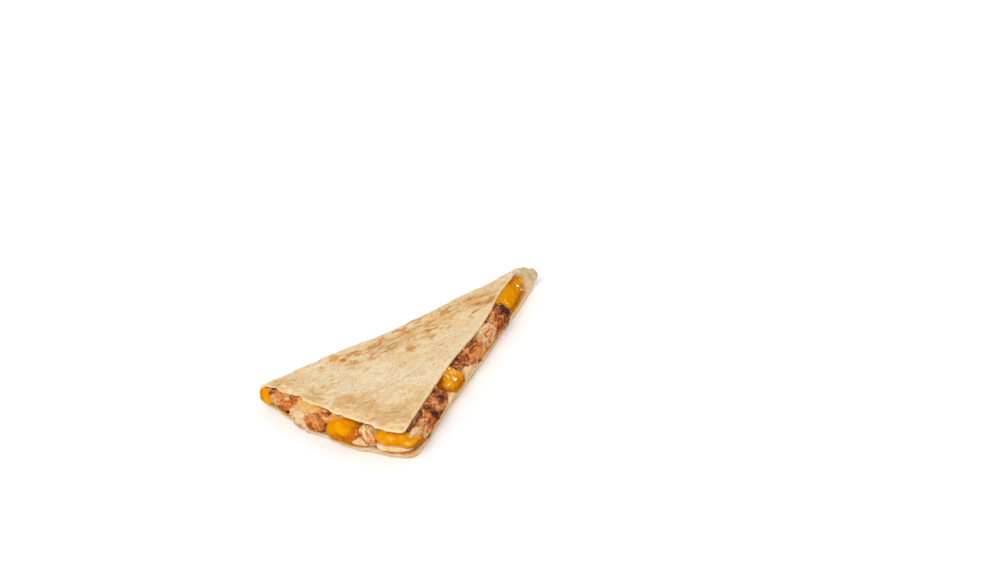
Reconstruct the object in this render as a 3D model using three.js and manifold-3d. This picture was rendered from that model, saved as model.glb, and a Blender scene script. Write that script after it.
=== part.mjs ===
// A wedge of a folded chicken and cheese quesadilla, lying flat.
//
// A flour tortilla is folded in half over its filling and cut into quarters. This is an end
// quarter: the fold runs along the back, a knife cut shows the filling on the right, and the
// tortilla's own round rim is open along the front left.
//
// Model frame while building: the inner corner (fold meets cut) is x = 0, y = 0, the fold runs
// towards -X, the wedge lies in -Y, and the underside is z = 0. Millimetres, +Z up.

import * as THREE from "three";
import { mergeVertices } from "three/addons/utils/BufferGeometryUtils.js";
import Module from "manifold-3d";

const wasm = await Module();
wasm.setup();

// ---- Driving dimensions ---------------------------------------------------------------------

const RADIUS = 125; // a 250 mm tortilla
const WEDGE = Math.PI / 4; // a quarter of the half moon
const SHEET = 2; // thickness of the tortilla
const GAP = 0.3; // clearance between neighbouring pieces
const FOLD_REACH = 4.5; // how far in the rounded fold reaches before a layer lies flat

const HEIGHT_INNER_CORNER = 13.2;
const HEIGHT_FOLD = 9.9; // along the middle of the fold
const HEIGHT_FOLD_END = 11; // where the fold meets the rim
const HEIGHT_CUT = 15; // half way along the cut
const HEIGHT_FRONT = 14.5; // where the cut meets the rim
const CROWN = 0.9; // extra height in the middle of the wedge
const FOLD_DROP = { until: 0.52, power: 1.15 }; // the fold sinks from the inner corner to here
const FOLD_RISE = { from: 0.55, power: 1.6 }; // and rises again from here to the rim
const TOP_LUMPS = [[0.28, 0.13, 0.09, 1], [0.22, -0.07, 0.21, 2.2]]; // height, per x, per y, shift

const TOP_RECESS = 8.2; // how far the upper layer stops short of the full radius
const BOTTOM_RECESS = 3.3; // the same for the lower layer
const TOP_NICK = { depth: 1.4, at: 0.27, reach: 0.045 }; // the rims are not quite even
const BOTTOM_NICK = { depth: 0.6, at: 0.17, reach: 0.06 };
const BOTTOM_TONGUE = { depth: 0.7, at: 0.33, reach: 0.06 };
const TOP_CORNER = 1.3; // rounding of the front corner of the upper layer
const BOTTOM_CORNER = 3.2; // and of the lower layer
const RIM_DROOP = 1.0; // the upper layer sinks towards its rim
const RIM_LIFT = 1.1; // and the lower layer lifts
const RIM_BAND = 8; // over this width
const FOLD_BOW = 1.0; // the fold line bends in by this much
const FOLD_KNOB = 2.6; // half way up, the folded corner stands out from the cut by this much
const FOLD_SETBACK = 1.4; // and at the top it lies this far behind it
const NOTCH = { depth: 2.8, at: 20, reach: 16 }; // the upper layer's cut runs in here
const LOWER_CUT = -1.3; // the lower layer's cut runs this far inside the line,
const INLET = { depth: 1.3, at: 86, reach: 18 }; // and further in here,
const FRONT_OUT = { depth: 0.6, reach: 9 }; // but further out at the front
const KNOB_REACH = 8; // of the folded corner along the cut
const CUT_SWAY = 1.2; // the upper layer's cut sways by this much

const REST_RISE = 0.08; // the uneven underside stands this high between the spots it rests on
const REST_SPOTS = [[-112, -12], [-32, -12], [-80, -72]];
const REST_PATCH = { centre: [-60.7, -32.2], span: 11 }; // a flat patch between the spots

const SAUCE_DEPTH = 1.7; // the layer of sauce on the lower tortilla
const SAUCE_WAVES = [[0.35, 0.31, 0.2, 0], [0.3, -0.19, 0.27, 0]]; // height, per x, per y, shift
const FILLING_INSET = 4; // the filling's core stops short of rim and cut by this

const CROWDING = 1.7; // the grids' steps crowd towards the front by this power
const SHEET_GRID = { flat: 12, bend: 8, rows: 16 }; // steps to the front, round the fold, across
const CORE_GRID = { flat: 7, bend: 6, rows: 9 };
const CORE_CLEARANCE = 0.15; // extra room that the core's coarser grid needs

const SLAB_GRID = { along: 10, across: 8 };
const SLAB_MARGIN = 5; // the slab that bounds the sauce reaches this far past the wedge

const HALF = Math.SQRT1_2;

const TOASTED_FLOUR = 0xe3cfae;
const CREAM = 0xf1c88c;
const CHEDDAR = 0xe69a17;
const RED_BROWN = 0xa4532a;
const ORANGE_BROWN = 0xc06a2c;
const PALE = 0xdcb68c;
const CHARRED = 0x6b3319;

// ---- Form of the folded tortilla ------------------------------------------------------------

const clamp01 = (value) => Math.min(Math.max(value, 0), 1);
const bell = (value, centre, width) => Math.exp(-(((value - centre) / width) ** 2));
const blend = (from, to, share) => from + (to - from) * share;
const bellOf = (shape, value) => shape.depth * bell(value, shape.at, shape.reach);
const wavesAt = (waves, x, y) => waves.reduce(
  (sum, [height, perX, perY, shift]) => sum + height * Math.sin(perX * x + perY * y + shift),
  0,
);

// Where a plan point lies between the fold (0) and the cut (1), seen from the inner corner.
function sweepAt(x, y) {
  return clamp01(Math.atan2(-y, -x) / WEDGE);
}

// Radius of the rim of the upper (layer = 1) or the lower tortilla (layer = 0).
function rimRadius(layer, sweep) {
  const upper = TOP_RECESS * Math.sin(Math.PI * sweep ** 0.8) + bellOf(TOP_NICK, sweep);
  const lower = BOTTOM_RECESS * Math.sin(Math.PI * sweep) + bellOf(BOTTOM_NICK, sweep)
    - bellOf(BOTTOM_TONGUE, sweep);
  return RADIUS - blend(lower, upper, layer);
}

// How far the knife's cut wanders in (+) from the straight line, at a distance along it.
function cutWander(layer, along) {
  const turn = (2 * Math.PI * along) / RADIUS;
  const upper = bellOf(NOTCH, along) - CUT_SWAY * Math.sin(turn);
  const lower = LOWER_CUT + bellOf(INLET, along)
    - FRONT_OUT.depth * bell(along, RADIUS, FRONT_OUT.reach);
  const knob = FOLD_KNOB * 4 * layer * (1 - layer) - FOLD_SETBACK * layer;
  return blend(lower, upper, layer) - knob * bell(along, 0, KNOB_REACH);
}

// Height of the outside of the upper tortilla.
function topHeight(x, y) {
  const radius = Math.hypot(x, y);
  const reach = Math.min(radius / RADIUS, 1);
  const sweep = sweepAt(x, y);
  const fold = HEIGHT_FOLD
    + (HEIGHT_INNER_CORNER - HEIGHT_FOLD) * clamp01(1 - reach / FOLD_DROP.until) ** FOLD_DROP.power
    + (HEIGHT_FOLD_END - HEIGHT_FOLD)
      * clamp01((reach - FOLD_RISE.from) / (1 - FOLD_RISE.from)) ** FOLD_RISE.power;
  const middle = 2 * HEIGHT_CUT - (HEIGHT_INNER_CORNER + HEIGHT_FRONT) / 2;
  const cut = HEIGHT_INNER_CORNER * (1 - reach) ** 2 + 2 * middle * reach * (1 - reach)
    + HEIGHT_FRONT * reach ** 2;
  const crown = 4 * CROWN * sweep * (1 - sweep) * reach;
  const lumps = wavesAt(TOP_LUMPS, x, y);
  const edge = clamp01((radius - rimRadius(1, sweep) + RIM_BAND) / RIM_BAND);
  return blend(fold, cut, sweep) + crown + lumps - RIM_DROOP * edge ** 2;
}

// Height of the underside of the lower tortilla: level, but for its rim.
function bottomHeight(x, y) {
  const sweep = sweepAt(x, y);
  const edge = clamp01((Math.hypot(x, y) - rimRadius(0, sweep) + RIM_BAND) / RIM_BAND);
  return REST_RISE + RIM_LIFT * (0.75 + 0.25 * Math.sin(17 * sweep)) * edge ** 2;
}

// Ends of one strip of a layer parallel to the fold, at a distance from the fold. The strip's
// half width shrinks as a hyperbola near the front, which rounds the front corner.
function stripEnds(layer, distance, edgeOut) {
  let sweep = 0;
  for (let pass = 0; pass < 4; pass += 1) {
    const radius = rimRadius(layer, sweep) + edgeOut;
    sweep = clamp01(Math.asin(clamp01(distance / radius)) / WEDGE);
  }
  const radius = rimRadius(layer, sweep) + edgeOut;
  const rim = -Math.sqrt(Math.max(radius ** 2 - distance ** 2, 0));
  const along = distance / HALF;
  const cut = -distance - (cutWander(layer, along) - edgeOut) / HALF;
  const corner = blend(BOTTOM_CORNER, TOP_CORNER, layer);
  const square = (cut - rim) / 2;
  const half = Math.sqrt(Math.max(square ** 2 - corner ** 2, 0.01));
  return { middle: (cut + rim) / 2, half, square, corner };
}

// The distance from the fold at which a layer's front corner ends.
function frontReach(layer, edgeOut) {
  let near = FOLD_REACH;
  let far = RADIUS;
  for (let pass = 0; pass < 40; pass += 1) {
    const middle = (near + far) / 2;
    const strip = stripEnds(layer, middle, edgeOut);
    if (strip.square > strip.corner * 1.03) {
      near = middle;
    } else {
      far = middle;
    }
  }
  return near;
}

// One point of a surface that lies a given depth inside the outer skin. A column is either a
// flat strip at a distance from the fold, or an angle round the fold from -90 (below) to 90.
function skinPoint(column, share, depth, edgeOut) {
  const distance = column.flat
    ? column.distance
    : depth + (FOLD_REACH - depth) * (1 - Math.cos(column.angle));
  const layer = column.flat ? column.layer : (1 + Math.sin(column.angle)) / 2;
  const strip = stripEnds(layer, distance, edgeOut);
  const x = strip.middle + strip.half * (2 * share - 1);
  const bow = FOLD_BOW * Math.sin((Math.PI * clamp01(-x / RADIUS))) * Math.exp(-distance / 15);
  const heightAt = column.flat ? -distance : -FOLD_REACH;
  const upper = topHeight(x, heightAt) - depth;
  const lower = bottomHeight(x, heightAt) + depth;
  return [x, -distance - bow, blend(lower, upper, layer)];
}

// Columns from the front of the upper layer, round the fold, to the front of the lower layer.
function foldedColumns(grid, topReach, bottomReach) {
  const columns = [];
  const distances = (reach) => Array.from({ length: grid.flat }, (unused, step) => {
    const share = 1 - (1 - (step + 1) / grid.flat) ** CROWDING;
    return FOLD_REACH + (reach - FOLD_REACH) * share;
  });
  for (const distance of distances(topReach).reverse()) {
    columns.push({ flat: true, layer: 1, distance });
  }
  for (let step = 0; step <= grid.bend; step += 1) {
    columns.push({ flat: false, angle: Math.PI * (0.5 - step / grid.bend) });
  }
  for (const distance of distances(bottomReach)) {
    columns.push({ flat: true, layer: 0, distance });
  }
  return columns;
}

// ---- Meshes and solids ----------------------------------------------------------------------

function geometryFrom(points, triangles) {
  const geometry = new THREE.BufferGeometry();
  geometry.setAttribute("position", new THREE.Float32BufferAttribute(points.flat(), 3));
  geometry.setIndex(triangles.flat());
  return geometry;
}

// Two triangles for the quad a, b, c, d, facing the side from which it runs anticlockwise.
const quad = (a, b, c, d) => [[a, b, c], [a, c, d]];

// The sheet itself: an outer and an inner skin, joined by narrow bands along all four edges.
function foldedSheet(outerDepth, innerDepth, edgeOut) {
  const { rows } = SHEET_GRID;
  const columns = foldedColumns(SHEET_GRID, frontReach(1, edgeOut), frontReach(0, edgeOut));
  const points = [];
  for (const depth of [outerDepth, innerDepth]) {
    for (const column of columns) {
      for (let row = 0; row <= rows; row += 1) {
        points.push(skinPoint(column, row / rows, depth, edgeOut));
      }
    }
  }
  const last = columns.length - 1;
  const at = (side, column, row) => (side * (last + 1) + column) * (rows + 1) + row;
  const triangles = [];
  for (let column = 0; column < last; column += 1) {
    for (let row = 0; row < rows; row += 1) {
      triangles.push(...quad(at(0, column, row), at(0, column, row + 1),
        at(0, column + 1, row + 1), at(0, column + 1, row)));
      triangles.push(...quad(at(1, column, row), at(1, column + 1, row),
        at(1, column + 1, row + 1), at(1, column, row + 1)));
    }
    triangles.push(...quad(at(0, column, 0), at(0, column + 1, 0),
      at(1, column + 1, 0), at(1, column, 0)));
    triangles.push(...quad(at(0, column, rows), at(1, column, rows),
      at(1, column + 1, rows), at(0, column + 1, rows)));
  }
  for (let row = 0; row < rows; row += 1) {
    triangles.push(...quad(at(0, 0, row), at(1, 0, row), at(1, 0, row + 1), at(0, 0, row + 1)));
    triangles.push(...quad(at(0, last, row), at(0, last, row + 1),
      at(1, last, row + 1), at(1, last, row)));
  }
  return geometryFrom(points, triangles);
}

// Lets the underside touch the ground at its three rest spots and on its patch.
function settled(sheet) {
  const position = sheet.getAttribute("position");
  const under = Array.from({ length: position.count }, (unused, index) => index)
    .filter((index) => position.getZ(index) < SHEET / 2);
  const away = (index, [x, y]) => Math.hypot(position.getX(index) - x, position.getY(index) - y);
  for (const spot of REST_SPOTS) {
    const nearest = under.reduce((best, index) => (away(index, spot) < away(best, spot) ? index : best));
    position.setZ(nearest, 0);
  }
  for (const index of under.filter((each) => away(each, REST_PATCH.centre) < REST_PATCH.span)) {
    position.setZ(index, 0);
  }
  return sheet;
}

// The space inside the fold, as one body: the inner skin, closed between its two layers.
function foldedCore(depth, edgeOut) {
  const { rows } = CORE_GRID;
  const reach = frontReach(1, edgeOut);
  const columns = foldedColumns(CORE_GRID, reach, reach);
  const last = columns.length - 1;
  const points = [];
  for (const column of columns) {
    for (let row = 0; row <= rows; row += 1) {
      const point = skinPoint({ ...column, layer: 1 }, row / rows, depth, edgeOut);
      if (column.layer === 0) {
        point[2] = bottomHeight(point[0], -column.distance) + depth;
      }
      points.push(point);
    }
  }
  const at = (column, row) => column * (rows + 1) + row;
  const triangles = [];
  for (let column = 0; column < last; column += 1) {
    for (let row = 0; row < rows; row += 1) {
      triangles.push(...quad(at(column, row), at(column, row + 1),
        at(column + 1, row + 1), at(column + 1, row)));
    }
  }
  for (let column = 0; column < last / 2; column += 1) {
    const mirror = last - column;
    const inner = mirror - 1 > column + 1;
    for (const [row, flip] of [[0, false], [rows, true]]) {
      const ring = [at(column, row), at(column + 1, row), at(mirror - 1, row), at(mirror, row)];
      const faces = inner ? quad(...ring) : [[ring[0], ring[1], ring[3]]];
      triangles.push(...faces.map((face) => (flip ? face.toReversed() : face)));
    }
  }
  for (let row = 0; row < rows; row += 1) {
    triangles.push(...quad(at(0, row), at(last, row), at(last, row + 1), at(0, row + 1)));
  }
  return geometryFrom(points, triangles);
}

function solidFrom(geometry) {
  const plain = new THREE.BufferGeometry();
  plain.setAttribute("position", geometry.getAttribute("position").clone());
  plain.setIndex(geometry.getIndex().clone());
  const merged = mergeVertices(plain, 1e-4);
  return new wasm.Manifold(new wasm.Mesh({
    numProp: 3,
    vertProperties: new Float32Array(merged.getAttribute("position").array),
    triVerts: new Uint32Array(merged.getIndex().array),
  }));
}

// A box with its corners shared, ready to be bent into shape.
function plainBox(...dimensions) {
  const geometry = new THREE.BoxGeometry(...dimensions);
  geometry.deleteAttribute("normal");
  geometry.deleteAttribute("uv");
  return mergeVertices(geometry, 1e-4);
}

function geometryOf(solid) {
  const mesh = solid.getMesh();
  const geometry = new THREE.BufferGeometry();
  geometry.setAttribute("position", new THREE.BufferAttribute(mesh.vertProperties, 3));
  geometry.setIndex(new THREE.BufferAttribute(mesh.triVerts, 1));
  return geometry;
}

// The largest body of a solid: slivers that a cut leaves loose are dropped.
function largestBody(solid) {
  return solid.decompose().reduce((best, body) => (body.volume() > best.volume() ? body : best));
}

// ---- Places along the two open sides --------------------------------------------------------

// On the rim, at a share of its sweep from the fold (0) to the cut (1), with the outer face
// standing proud of the lower rim by the given amount.
function onRim(sweep, depth, proud) {
  const angle = sweep * WEDGE;
  const radius = rimRadius(0, clamp01(sweep)) + proud - depth / 2;
  return {
    x: -radius * Math.cos(angle),
    y: -radius * Math.sin(angle),
    heading: Math.atan2(-Math.cos(angle), Math.sin(angle)),
  };
}

// On the cut, at a distance along it from the inner corner.
function onCut(along, depth, proud) {
  const inward = depth / 2 - proud;
  return { x: -HALF * (along + inward), y: -HALF * (along - inward), heading: -0.75 * Math.PI };
}

// A lump of filling: a box with rounded, uneven sides. Its size is along the edge it lies at,
// into the wedge, and up. Power 2 is an egg, and higher powers are squarer. Slant leans it along
// the edge by that share of the height.
function lump(spec, grow = 0) {
  const { side, along, z, size, proud = 0, pitch = 0, slant = 0, seed } = spec;
  const { power = 2.8, uneven = 0.08 } = spec;
  const place = side(along, size[1], proud);
  const steps = Math.min(...size) < 5 ? 3 : 4;
  const merged = plainBox(2, 2, 2, steps, steps, steps);
  const position = merged.getAttribute("position");
  const halves = new THREE.Vector3(...size).multiplyScalar(0.5).addScalar(grow);
  const point = new THREE.Vector3();
  for (let index = 0; index < position.count; index += 1) {
    point.fromBufferAttribute(position, index).normalize();
    const { x, y, z: up } = point;
    const square = (Math.abs(x) ** power + Math.abs(y) ** power + Math.abs(up) ** power) ** (-1 / power);
    const wave = Math.sin(3.1 * x + 2.3 * y + seed) + Math.sin(2.7 * up - 2.9 * x + 1.7 * seed)
      + Math.sin(4.3 * y + 2.1 * up + 2.9 * seed);
    point.multiplyScalar(square * (1 + (uneven * wave) / 2)).multiply(halves);
    position.setXYZ(index, point.x, point.y, point.z);
  }
  merged.rotateY(-pitch);
  merged.applyMatrix4(new THREE.Matrix4().set(1, 0, slant, 0, 0, 1, 0, 0, 0, 0, 1, 0, 0, 0, 0, 1));
  merged.rotateZ(place.heading);
  merged.translate(place.x, place.y, z);
  return solidFrom(merged);
}

// ---- Filling --------------------------------------------------------------------------------

// Pieces of grilled chicken along the rim, from the fold to the cut.
const RIM_CHICKEN = [
  { along: 0.17, z: 7.3, size: [19, 15, 6.4], proud: 0.5, colour: RED_BROWN },
  { along: 0.325, z: 5, size: [14, 16, 8.6], proud: 0.6, colour: PALE },
  { along: 0.44, z: 5.9, size: [11, 13, 5.6], proud: 1.1, colour: ORANGE_BROWN },
  { along: 0.545, z: 9.6, size: [18, 13, 3.6], proud: -2, colour: RED_BROWN },
  { along: 0.785, z: 8, size: [7, 15, 8.2], proud: -0.2, slant: -0.3, colour: PALE },
];

// And along the cut, from the front to the inner corner.
const CUT_CHICKEN = [
  { along: 111, z: 6, size: [16, 16, 9.8], proud: 2.8, slant: 0.8, colour: PALE },
  { along: 98.5, z: 7.2, size: [18, 16, 11.4], proud: 3.4, slant: 0.35, colour: CHARRED },
  { along: 112, z: 11.6, size: [19, 12, 2.2], proud: 0.4, colour: CHARRED },
  { along: 67, z: 4.6, size: [12, 13, 6], proud: 3, colour: PALE },
  { along: 60, z: 7.2, size: [20, 16, 11], proud: 3.4, slant: 1, colour: RED_BROWN },
  { along: 46, z: 6.8, size: [14.5, 17, 12], proud: 3.4, slant: 0.8, colour: PALE },
  { along: 33, z: 6.6, size: [14.5, 16, 12], proud: 3.8, slant: 0.5, colour: CHARRED },
];

// Where the melted cheese swells out between the layers.
const CHEESE_LOBES = [
  { side: onRim, along: 0.035, z: 5.3, size: [10, 9, 9.4], proud: 1.3, power: 3, uneven: 0.03 },
  { side: onRim, along: 0.19, z: 4, size: [20, 11, 4.6], proud: 1, power: 2.3 },
  { side: onRim, along: 0.345, z: 9.9, size: [22, 14, 3.2], proud: -2.6, power: 2.3 },
  { side: onRim, along: 0.635, z: 5.8, size: [20.5, 14, 9.8], proud: 2, power: 2.9, uneven: 0.05,
    slant: 0.25 },
  { side: onRim, along: 0.915, z: 8.9, size: [18, 14, 6.2], proud: 1, power: 2.9, uneven: 0.05,
    pitch: -0.13 },
  { side: onCut, along: 119, z: 6.2, size: [14, 9, 4.8], proud: 2.4, power: 2.4, uneven: 0.05,
    pitch: 0.32 },
  { side: onCut, along: 79, z: 5.8, size: [13, 13, 10.4], proud: 3.6, power: 2.4, uneven: 0.08,
    slant: 0.3 },
  { side: onCut, along: 80, z: 10.6, size: [8.5, 12, 5.8], proud: 1.6, power: 2.4, uneven: 0.08 },
  { side: onCut, along: 23, z: 6.3, size: [12.5, 14, 12.8], proud: 3.6, power: 2.5, uneven: 0.1,
    slant: 0.6 },
  { side: onCut, along: 16, z: 6.8, size: [12, 13, 11.8], proud: 2.6, power: 2.4, uneven: 0.1,
    slant: 0.6 },
  { side: onCut, along: 8, z: 6, size: [13, 11, 8.8], proud: 0.6, power: 2.4, uneven: 0.08,
    slant: 0.3 },
];

// Where the sauce gathers between the layers.
const SAUCE_LOBES = [
  { side: onRim, along: 0.73, z: 4.6, size: [12, 12, 4.4], proud: 0.9, power: 2.4 },
  { side: onRim, along: 0.905, z: 4.6, size: [19, 13, 4.8], proud: 0.8, power: 2.6 },
  { side: onCut, along: 88, z: 3.8, size: [15, 9, 3.8], proud: 1.8, power: 2.6 },
];

const numbered = (name, side) => (piece, index) => (
  { ...piece, side, name: `${name}_${index + 1}`, seed: 1.1 * index + 3 }
);
const CHICKEN = [
  ...RIM_CHICKEN.map(numbered("chicken_rim", onRim)),
  ...CUT_CHICKEN.map(numbered("chicken_cut", onCut)),
];

// Everything below the upper face of the sauce layer, as one wavy slab.
function sauceSlab(raise) {
  const width = RADIUS * HALF;
  const merged = plainBox(RADIUS + 2 * SLAB_MARGIN, width + 2 * SLAB_MARGIN, 2 * SHEET,
    SLAB_GRID.along, SLAB_GRID.across, 1);
  merged.translate(-RADIUS / 2, -width / 2, 0);
  const position = merged.getAttribute("position");
  const surface = SHEET + GAP + SAUCE_DEPTH + raise;
  for (let index = 0; index < position.count; index += 1) {
    const x = position.getX(index);
    const y = position.getY(index);
    const upper = position.getZ(index) > 0;
    const wave = wavesAt(SAUCE_WAVES, x, y);
    position.setZ(index, upper ? surface + wave : -SHEET);
  }
  return solidFrom(merged);
}

function buildFilling() {
  const nearSheet = solidFrom(foldedSheet(-GAP, SHEET + GAP, GAP));
  const coreDepth = SHEET + GAP + CORE_CLEARANCE;
  const core = solidFrom(foldedCore(coreDepth, -FILLING_INSET));
  const wideCore = solidFrom(foldedCore(coreDepth - GAP, GAP - FILLING_INSET));

  let sauce = core.intersect(sauceSlab(0));
  let nearSauce = wideCore.intersect(sauceSlab(GAP));
  for (const [seed, lobe] of SAUCE_LOBES.entries()) {
    sauce = sauce.add(lump({ ...lobe, seed }));
    nearSauce = nearSauce.add(lump({ ...lobe, seed }, GAP));
  }
  sauce = largestBody(sauce.subtract(nearSheet));

  const pieces = [];
  let nearPieces = nearSauce;
  for (const piece of CHICKEN) {
    const solid = largestBody(lump(piece).subtract(nearSheet).subtract(nearPieces));
    pieces.push({ ...piece, solid });
    nearPieces = nearPieces.add(lump(piece, GAP));
  }

  let cheese = core;
  for (const [seed, lobe] of CHEESE_LOBES.entries()) {
    cheese = cheese.add(lump({ ...lobe, seed }));
  }
  cheese = largestBody(cheese.subtract(nearSheet).subtract(nearPieces));
  return { sauce, pieces, cheese };
}

// ---- Materials and the finished group -------------------------------------------------------

function material(color, roughness) {
  return new THREE.MeshStandardMaterial({ color, roughness, metalness: 0 });
}

function named(name, geometry, color, roughness) {
  geometry.computeVertexNormals();
  const mesh = new THREE.Mesh(geometry, material(color, roughness));
  mesh.name = name;
  return mesh;
}

const group = new THREE.Group();
const { sauce, pieces, cheese } = buildFilling();
group.add(named("tortilla", settled(foldedSheet(0, SHEET, 0)), TOASTED_FLOUR, 0.85));
group.add(named("cream_sauce", geometryOf(sauce), CREAM, 0.4));
group.add(named("melted_cheese", geometryOf(cheese), CHEDDAR, 0.3));
for (const piece of pieces) {
  group.add(named(piece.name, geometryOf(piece.solid), piece.colour, 0.6));
}

// The part's own origin: the middle of its footprint, at the underside.
const box = new THREE.Box3().setFromObject(group);
const middle = box.getCenter(new THREE.Vector3());
group.position.set(-middle.x, -middle.y, -box.min.z);

export default group;
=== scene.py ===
import itertools
import math
from collections import namedtuple

import bpy
import numpy as np
from mathutils import Matrix, Vector


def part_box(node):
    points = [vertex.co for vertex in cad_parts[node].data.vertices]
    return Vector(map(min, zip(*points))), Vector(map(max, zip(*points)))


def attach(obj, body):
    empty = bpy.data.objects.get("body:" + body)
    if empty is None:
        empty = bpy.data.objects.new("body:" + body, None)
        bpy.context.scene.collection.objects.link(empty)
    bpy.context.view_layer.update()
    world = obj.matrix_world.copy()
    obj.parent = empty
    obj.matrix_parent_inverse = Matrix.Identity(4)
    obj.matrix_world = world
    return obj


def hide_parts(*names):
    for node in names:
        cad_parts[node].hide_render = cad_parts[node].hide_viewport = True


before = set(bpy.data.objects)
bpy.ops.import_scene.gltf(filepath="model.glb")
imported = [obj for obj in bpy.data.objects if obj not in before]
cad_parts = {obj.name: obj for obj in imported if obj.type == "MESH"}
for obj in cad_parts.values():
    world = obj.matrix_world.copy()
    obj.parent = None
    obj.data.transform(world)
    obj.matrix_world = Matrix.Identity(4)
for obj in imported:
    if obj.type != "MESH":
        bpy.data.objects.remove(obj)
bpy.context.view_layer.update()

bl_info = {
    "name": "Chicken Quesadilla Wedge",
    "version": (1, 0, 0),
    "blender": (4, 5, 0),
    "location": "View3D > Sidebar > Quesadilla",
    "description": "Makes a wedge of toasted tortilla folded over cheese, sauce and grilled chicken",
    "category": "Add Mesh",
}

# ---- Sizes of the wedge, in millimetres -----------------------------------------------------
# The shapes are worked out in millimetres with the inner corner, where the fold meets the
# cut, at x = 0, y = 0; the fold runs towards -x and the wedge lies in -y.

MM = 0.001
DIAGONAL = math.sqrt(0.5)  # the share of a length at 45 degrees that goes either way
UP = np.array([0.0, 0.0, 1.0])
CUT_OUT = np.array([DIAGONAL, -DIAGONAL, 0.0])  # straight out of the cut

Dent = namedtuple("Dent", "depth at reach")  # bell-shaped

RADIUS = 125.0
WEDGE = math.pi / 4  # the angle between the fold and the cut
RIM_LENGTH = RADIUS * WEDGE
SHEET = 2.0  # thickness of the tortilla
RIM_THINNING = 0.42  # it is thinner at its rim by this share
FOLD_REACH = 4.5  # how far in the rounded fold reaches before a layer lies flat

HEIGHT_INNER_CORNER = 13.2
HEIGHT_FOLD = 9.9  # along the middle of the fold
HEIGHT_FOLD_END = 11.0  # where the fold meets the rim
HEIGHT_CUT = 15.0  # half way along the cut
HEIGHT_FRONT = 14.5  # where the cut meets the rim
CROWN = 0.9  # extra height in the middle of the wedge
FOLD_DROP, FOLD_DROP_POWER = 0.52, 1.15  # the fold sinks until this share of the radius
FOLD_RISE, FOLD_RISE_POWER = 0.55, 1.6  # and rises again from this one
TOP_LUMPS = [(0.28, 0.13, 0.09, 1.0), (0.22, -0.07, 0.21, 2.2)]  # height, per x, per y, shift
REST_RISE = 0.08  # the uneven underside stands this high between the spots it rests on

TOP_RECESS = 8.2  # how far the upper layer stops short of the full radius
BOTTOM_RECESS = 3.3  # the same for the lower layer
TOP_NICK = Dent(1.4, 0.27, 0.045)  # the rims are not quite even
BOTTOM_NICK = Dent(0.6, 0.17, 0.06)
BOTTOM_TONGUE = Dent(0.7, 0.33, 0.06)
TOP_CORNER = 1.3  # rounding of the front corner of the upper layer
BOTTOM_CORNER = 3.2
RIM_DROOP = 1.0  # the upper layer sinks towards its rim
RIM_LIFT, LIFT_WAVES = 1.1, 17  # and the lower layer lifts, in waves
RIM_BAND = 8.0  # over this width
FOLD_BOW, BOW_FADE = 1.0, 15  # the fold line bends in, less and less within this reach
FOLD_KNOB = 2.6  # half way up, the folded corner stands out from the cut by this much
FOLD_SETBACK = 1.4  # and at the top it lies this far behind it
KNOB_REACH = 8
NOTCH = Dent(2.8, 20.0, 16.0)  # near the inner corner the upper layer's cut runs further in
CUT_SWAY = 1.2  # and sways by this much
LOWER_CUT = -1.3  # the lower layer's cut runs this far inside the line,
INLET = Dent(1.3, 86.0, 18.0)  # further in where the cut sinks in,
FRONT_OUT = Dent(0.6, RADIUS, 9)  # and further out at the front

SAUCE_TOP = 4.0
SAUCE_WAVES = [(0.35, 0.31, 0.2, 0.0), (0.3, -0.19, 0.27, 0.0)]  # as TOP_LUMPS
FILLING_INSET = 4.0  # the filling's core stops short of rim and cut by this
FILLING_PRESS = 0.12  # the filling presses this far into the sheet
OPENING_OUT = 5  # and has this much more room, up and down, for each millimetre past an edge
GROUND = 0.35  # nothing of the filling hangs lower than this

# ---- Noise ----------------------------------------------------------------------------------


def lattice(ix, iy, iz, seed):
    """A number from -1 to 1 for each whole lattice point: its three indices and the seed are
    multiplied by large odd numbers, combined bit by bit and stirred twice."""
    n = ix * np.uint64(73856093) ^ iy * np.uint64(19349663) ^ iz * np.uint64(83492791)
    n = (n ^ np.uint64(seed * 2654435761 % 4294967296)) & np.uint64(0xFFFFFFFF)
    n = (n ^ (n >> np.uint64(15))) * np.uint64(2246822519) & np.uint64(0xFFFFFFFF)
    n = (n ^ (n >> np.uint64(13))) * np.uint64(3266489917) & np.uint64(0xFFFFFFFF)
    return (n ^ (n >> np.uint64(16))).astype(float) / 2147483647.5 - 1.0


def noise(points, seed=0):
    """Smooth noise from -1 to 1: the lattice numbers at the eight corners of the cell round
    each point, blended by 6t^5 - 15t^4 + 10t^3 along each axis."""
    base = np.floor(points)
    t = points - base
    t = t * t * t * (t * (t * 6 - 15) + 10)
    cell = (base + 4096).astype(np.uint64)
    total = 0.0
    for step in itertools.product((0, 1), repeat=3):
        value = lattice(*(cell[..., axis] + np.uint64(step[axis]) for axis in range(3)), seed)
        for axis in range(3):
            value = value * (t[..., axis] if step[axis] else 1 - t[..., axis])
        total = total + value
    return total


# Each layer of noise is turned and shifted against the one before and has a seed of its own.
TURN = np.array([[0.36, 0.48, -0.8], [-0.8, 0.6, 0.0], [0.48, 0.64, 0.6]])
LAYER_SHIFT, LAYER_SEED = 11.3, 17
NOISE_GAIN = 1.6  # brings the layers' sum back to about -1 to 1


def layered(points, size, octaves=3, seed=0, stretch=(1, 1, 1)):
    """Layers of noise, each half as large and half as strong as the one before and turned
    against it, with the first layer's lumps about size across, times stretch along each axis."""
    place = points / (size * np.asarray(stretch, float))
    total, weight, sum_of_weights = 0.0, 1.0, 0.0
    for octave in range(octaves):
        total = total + weight * noise(place, seed + LAYER_SEED * octave)
        sum_of_weights += weight
        weight *= 0.5
        place = place @ TURN.T * 2.0 + LAYER_SHIFT
    return total / sum_of_weights * NOISE_GAIN


def clamp01(value):
    return np.clip(value, 0.0, 1.0)


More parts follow.
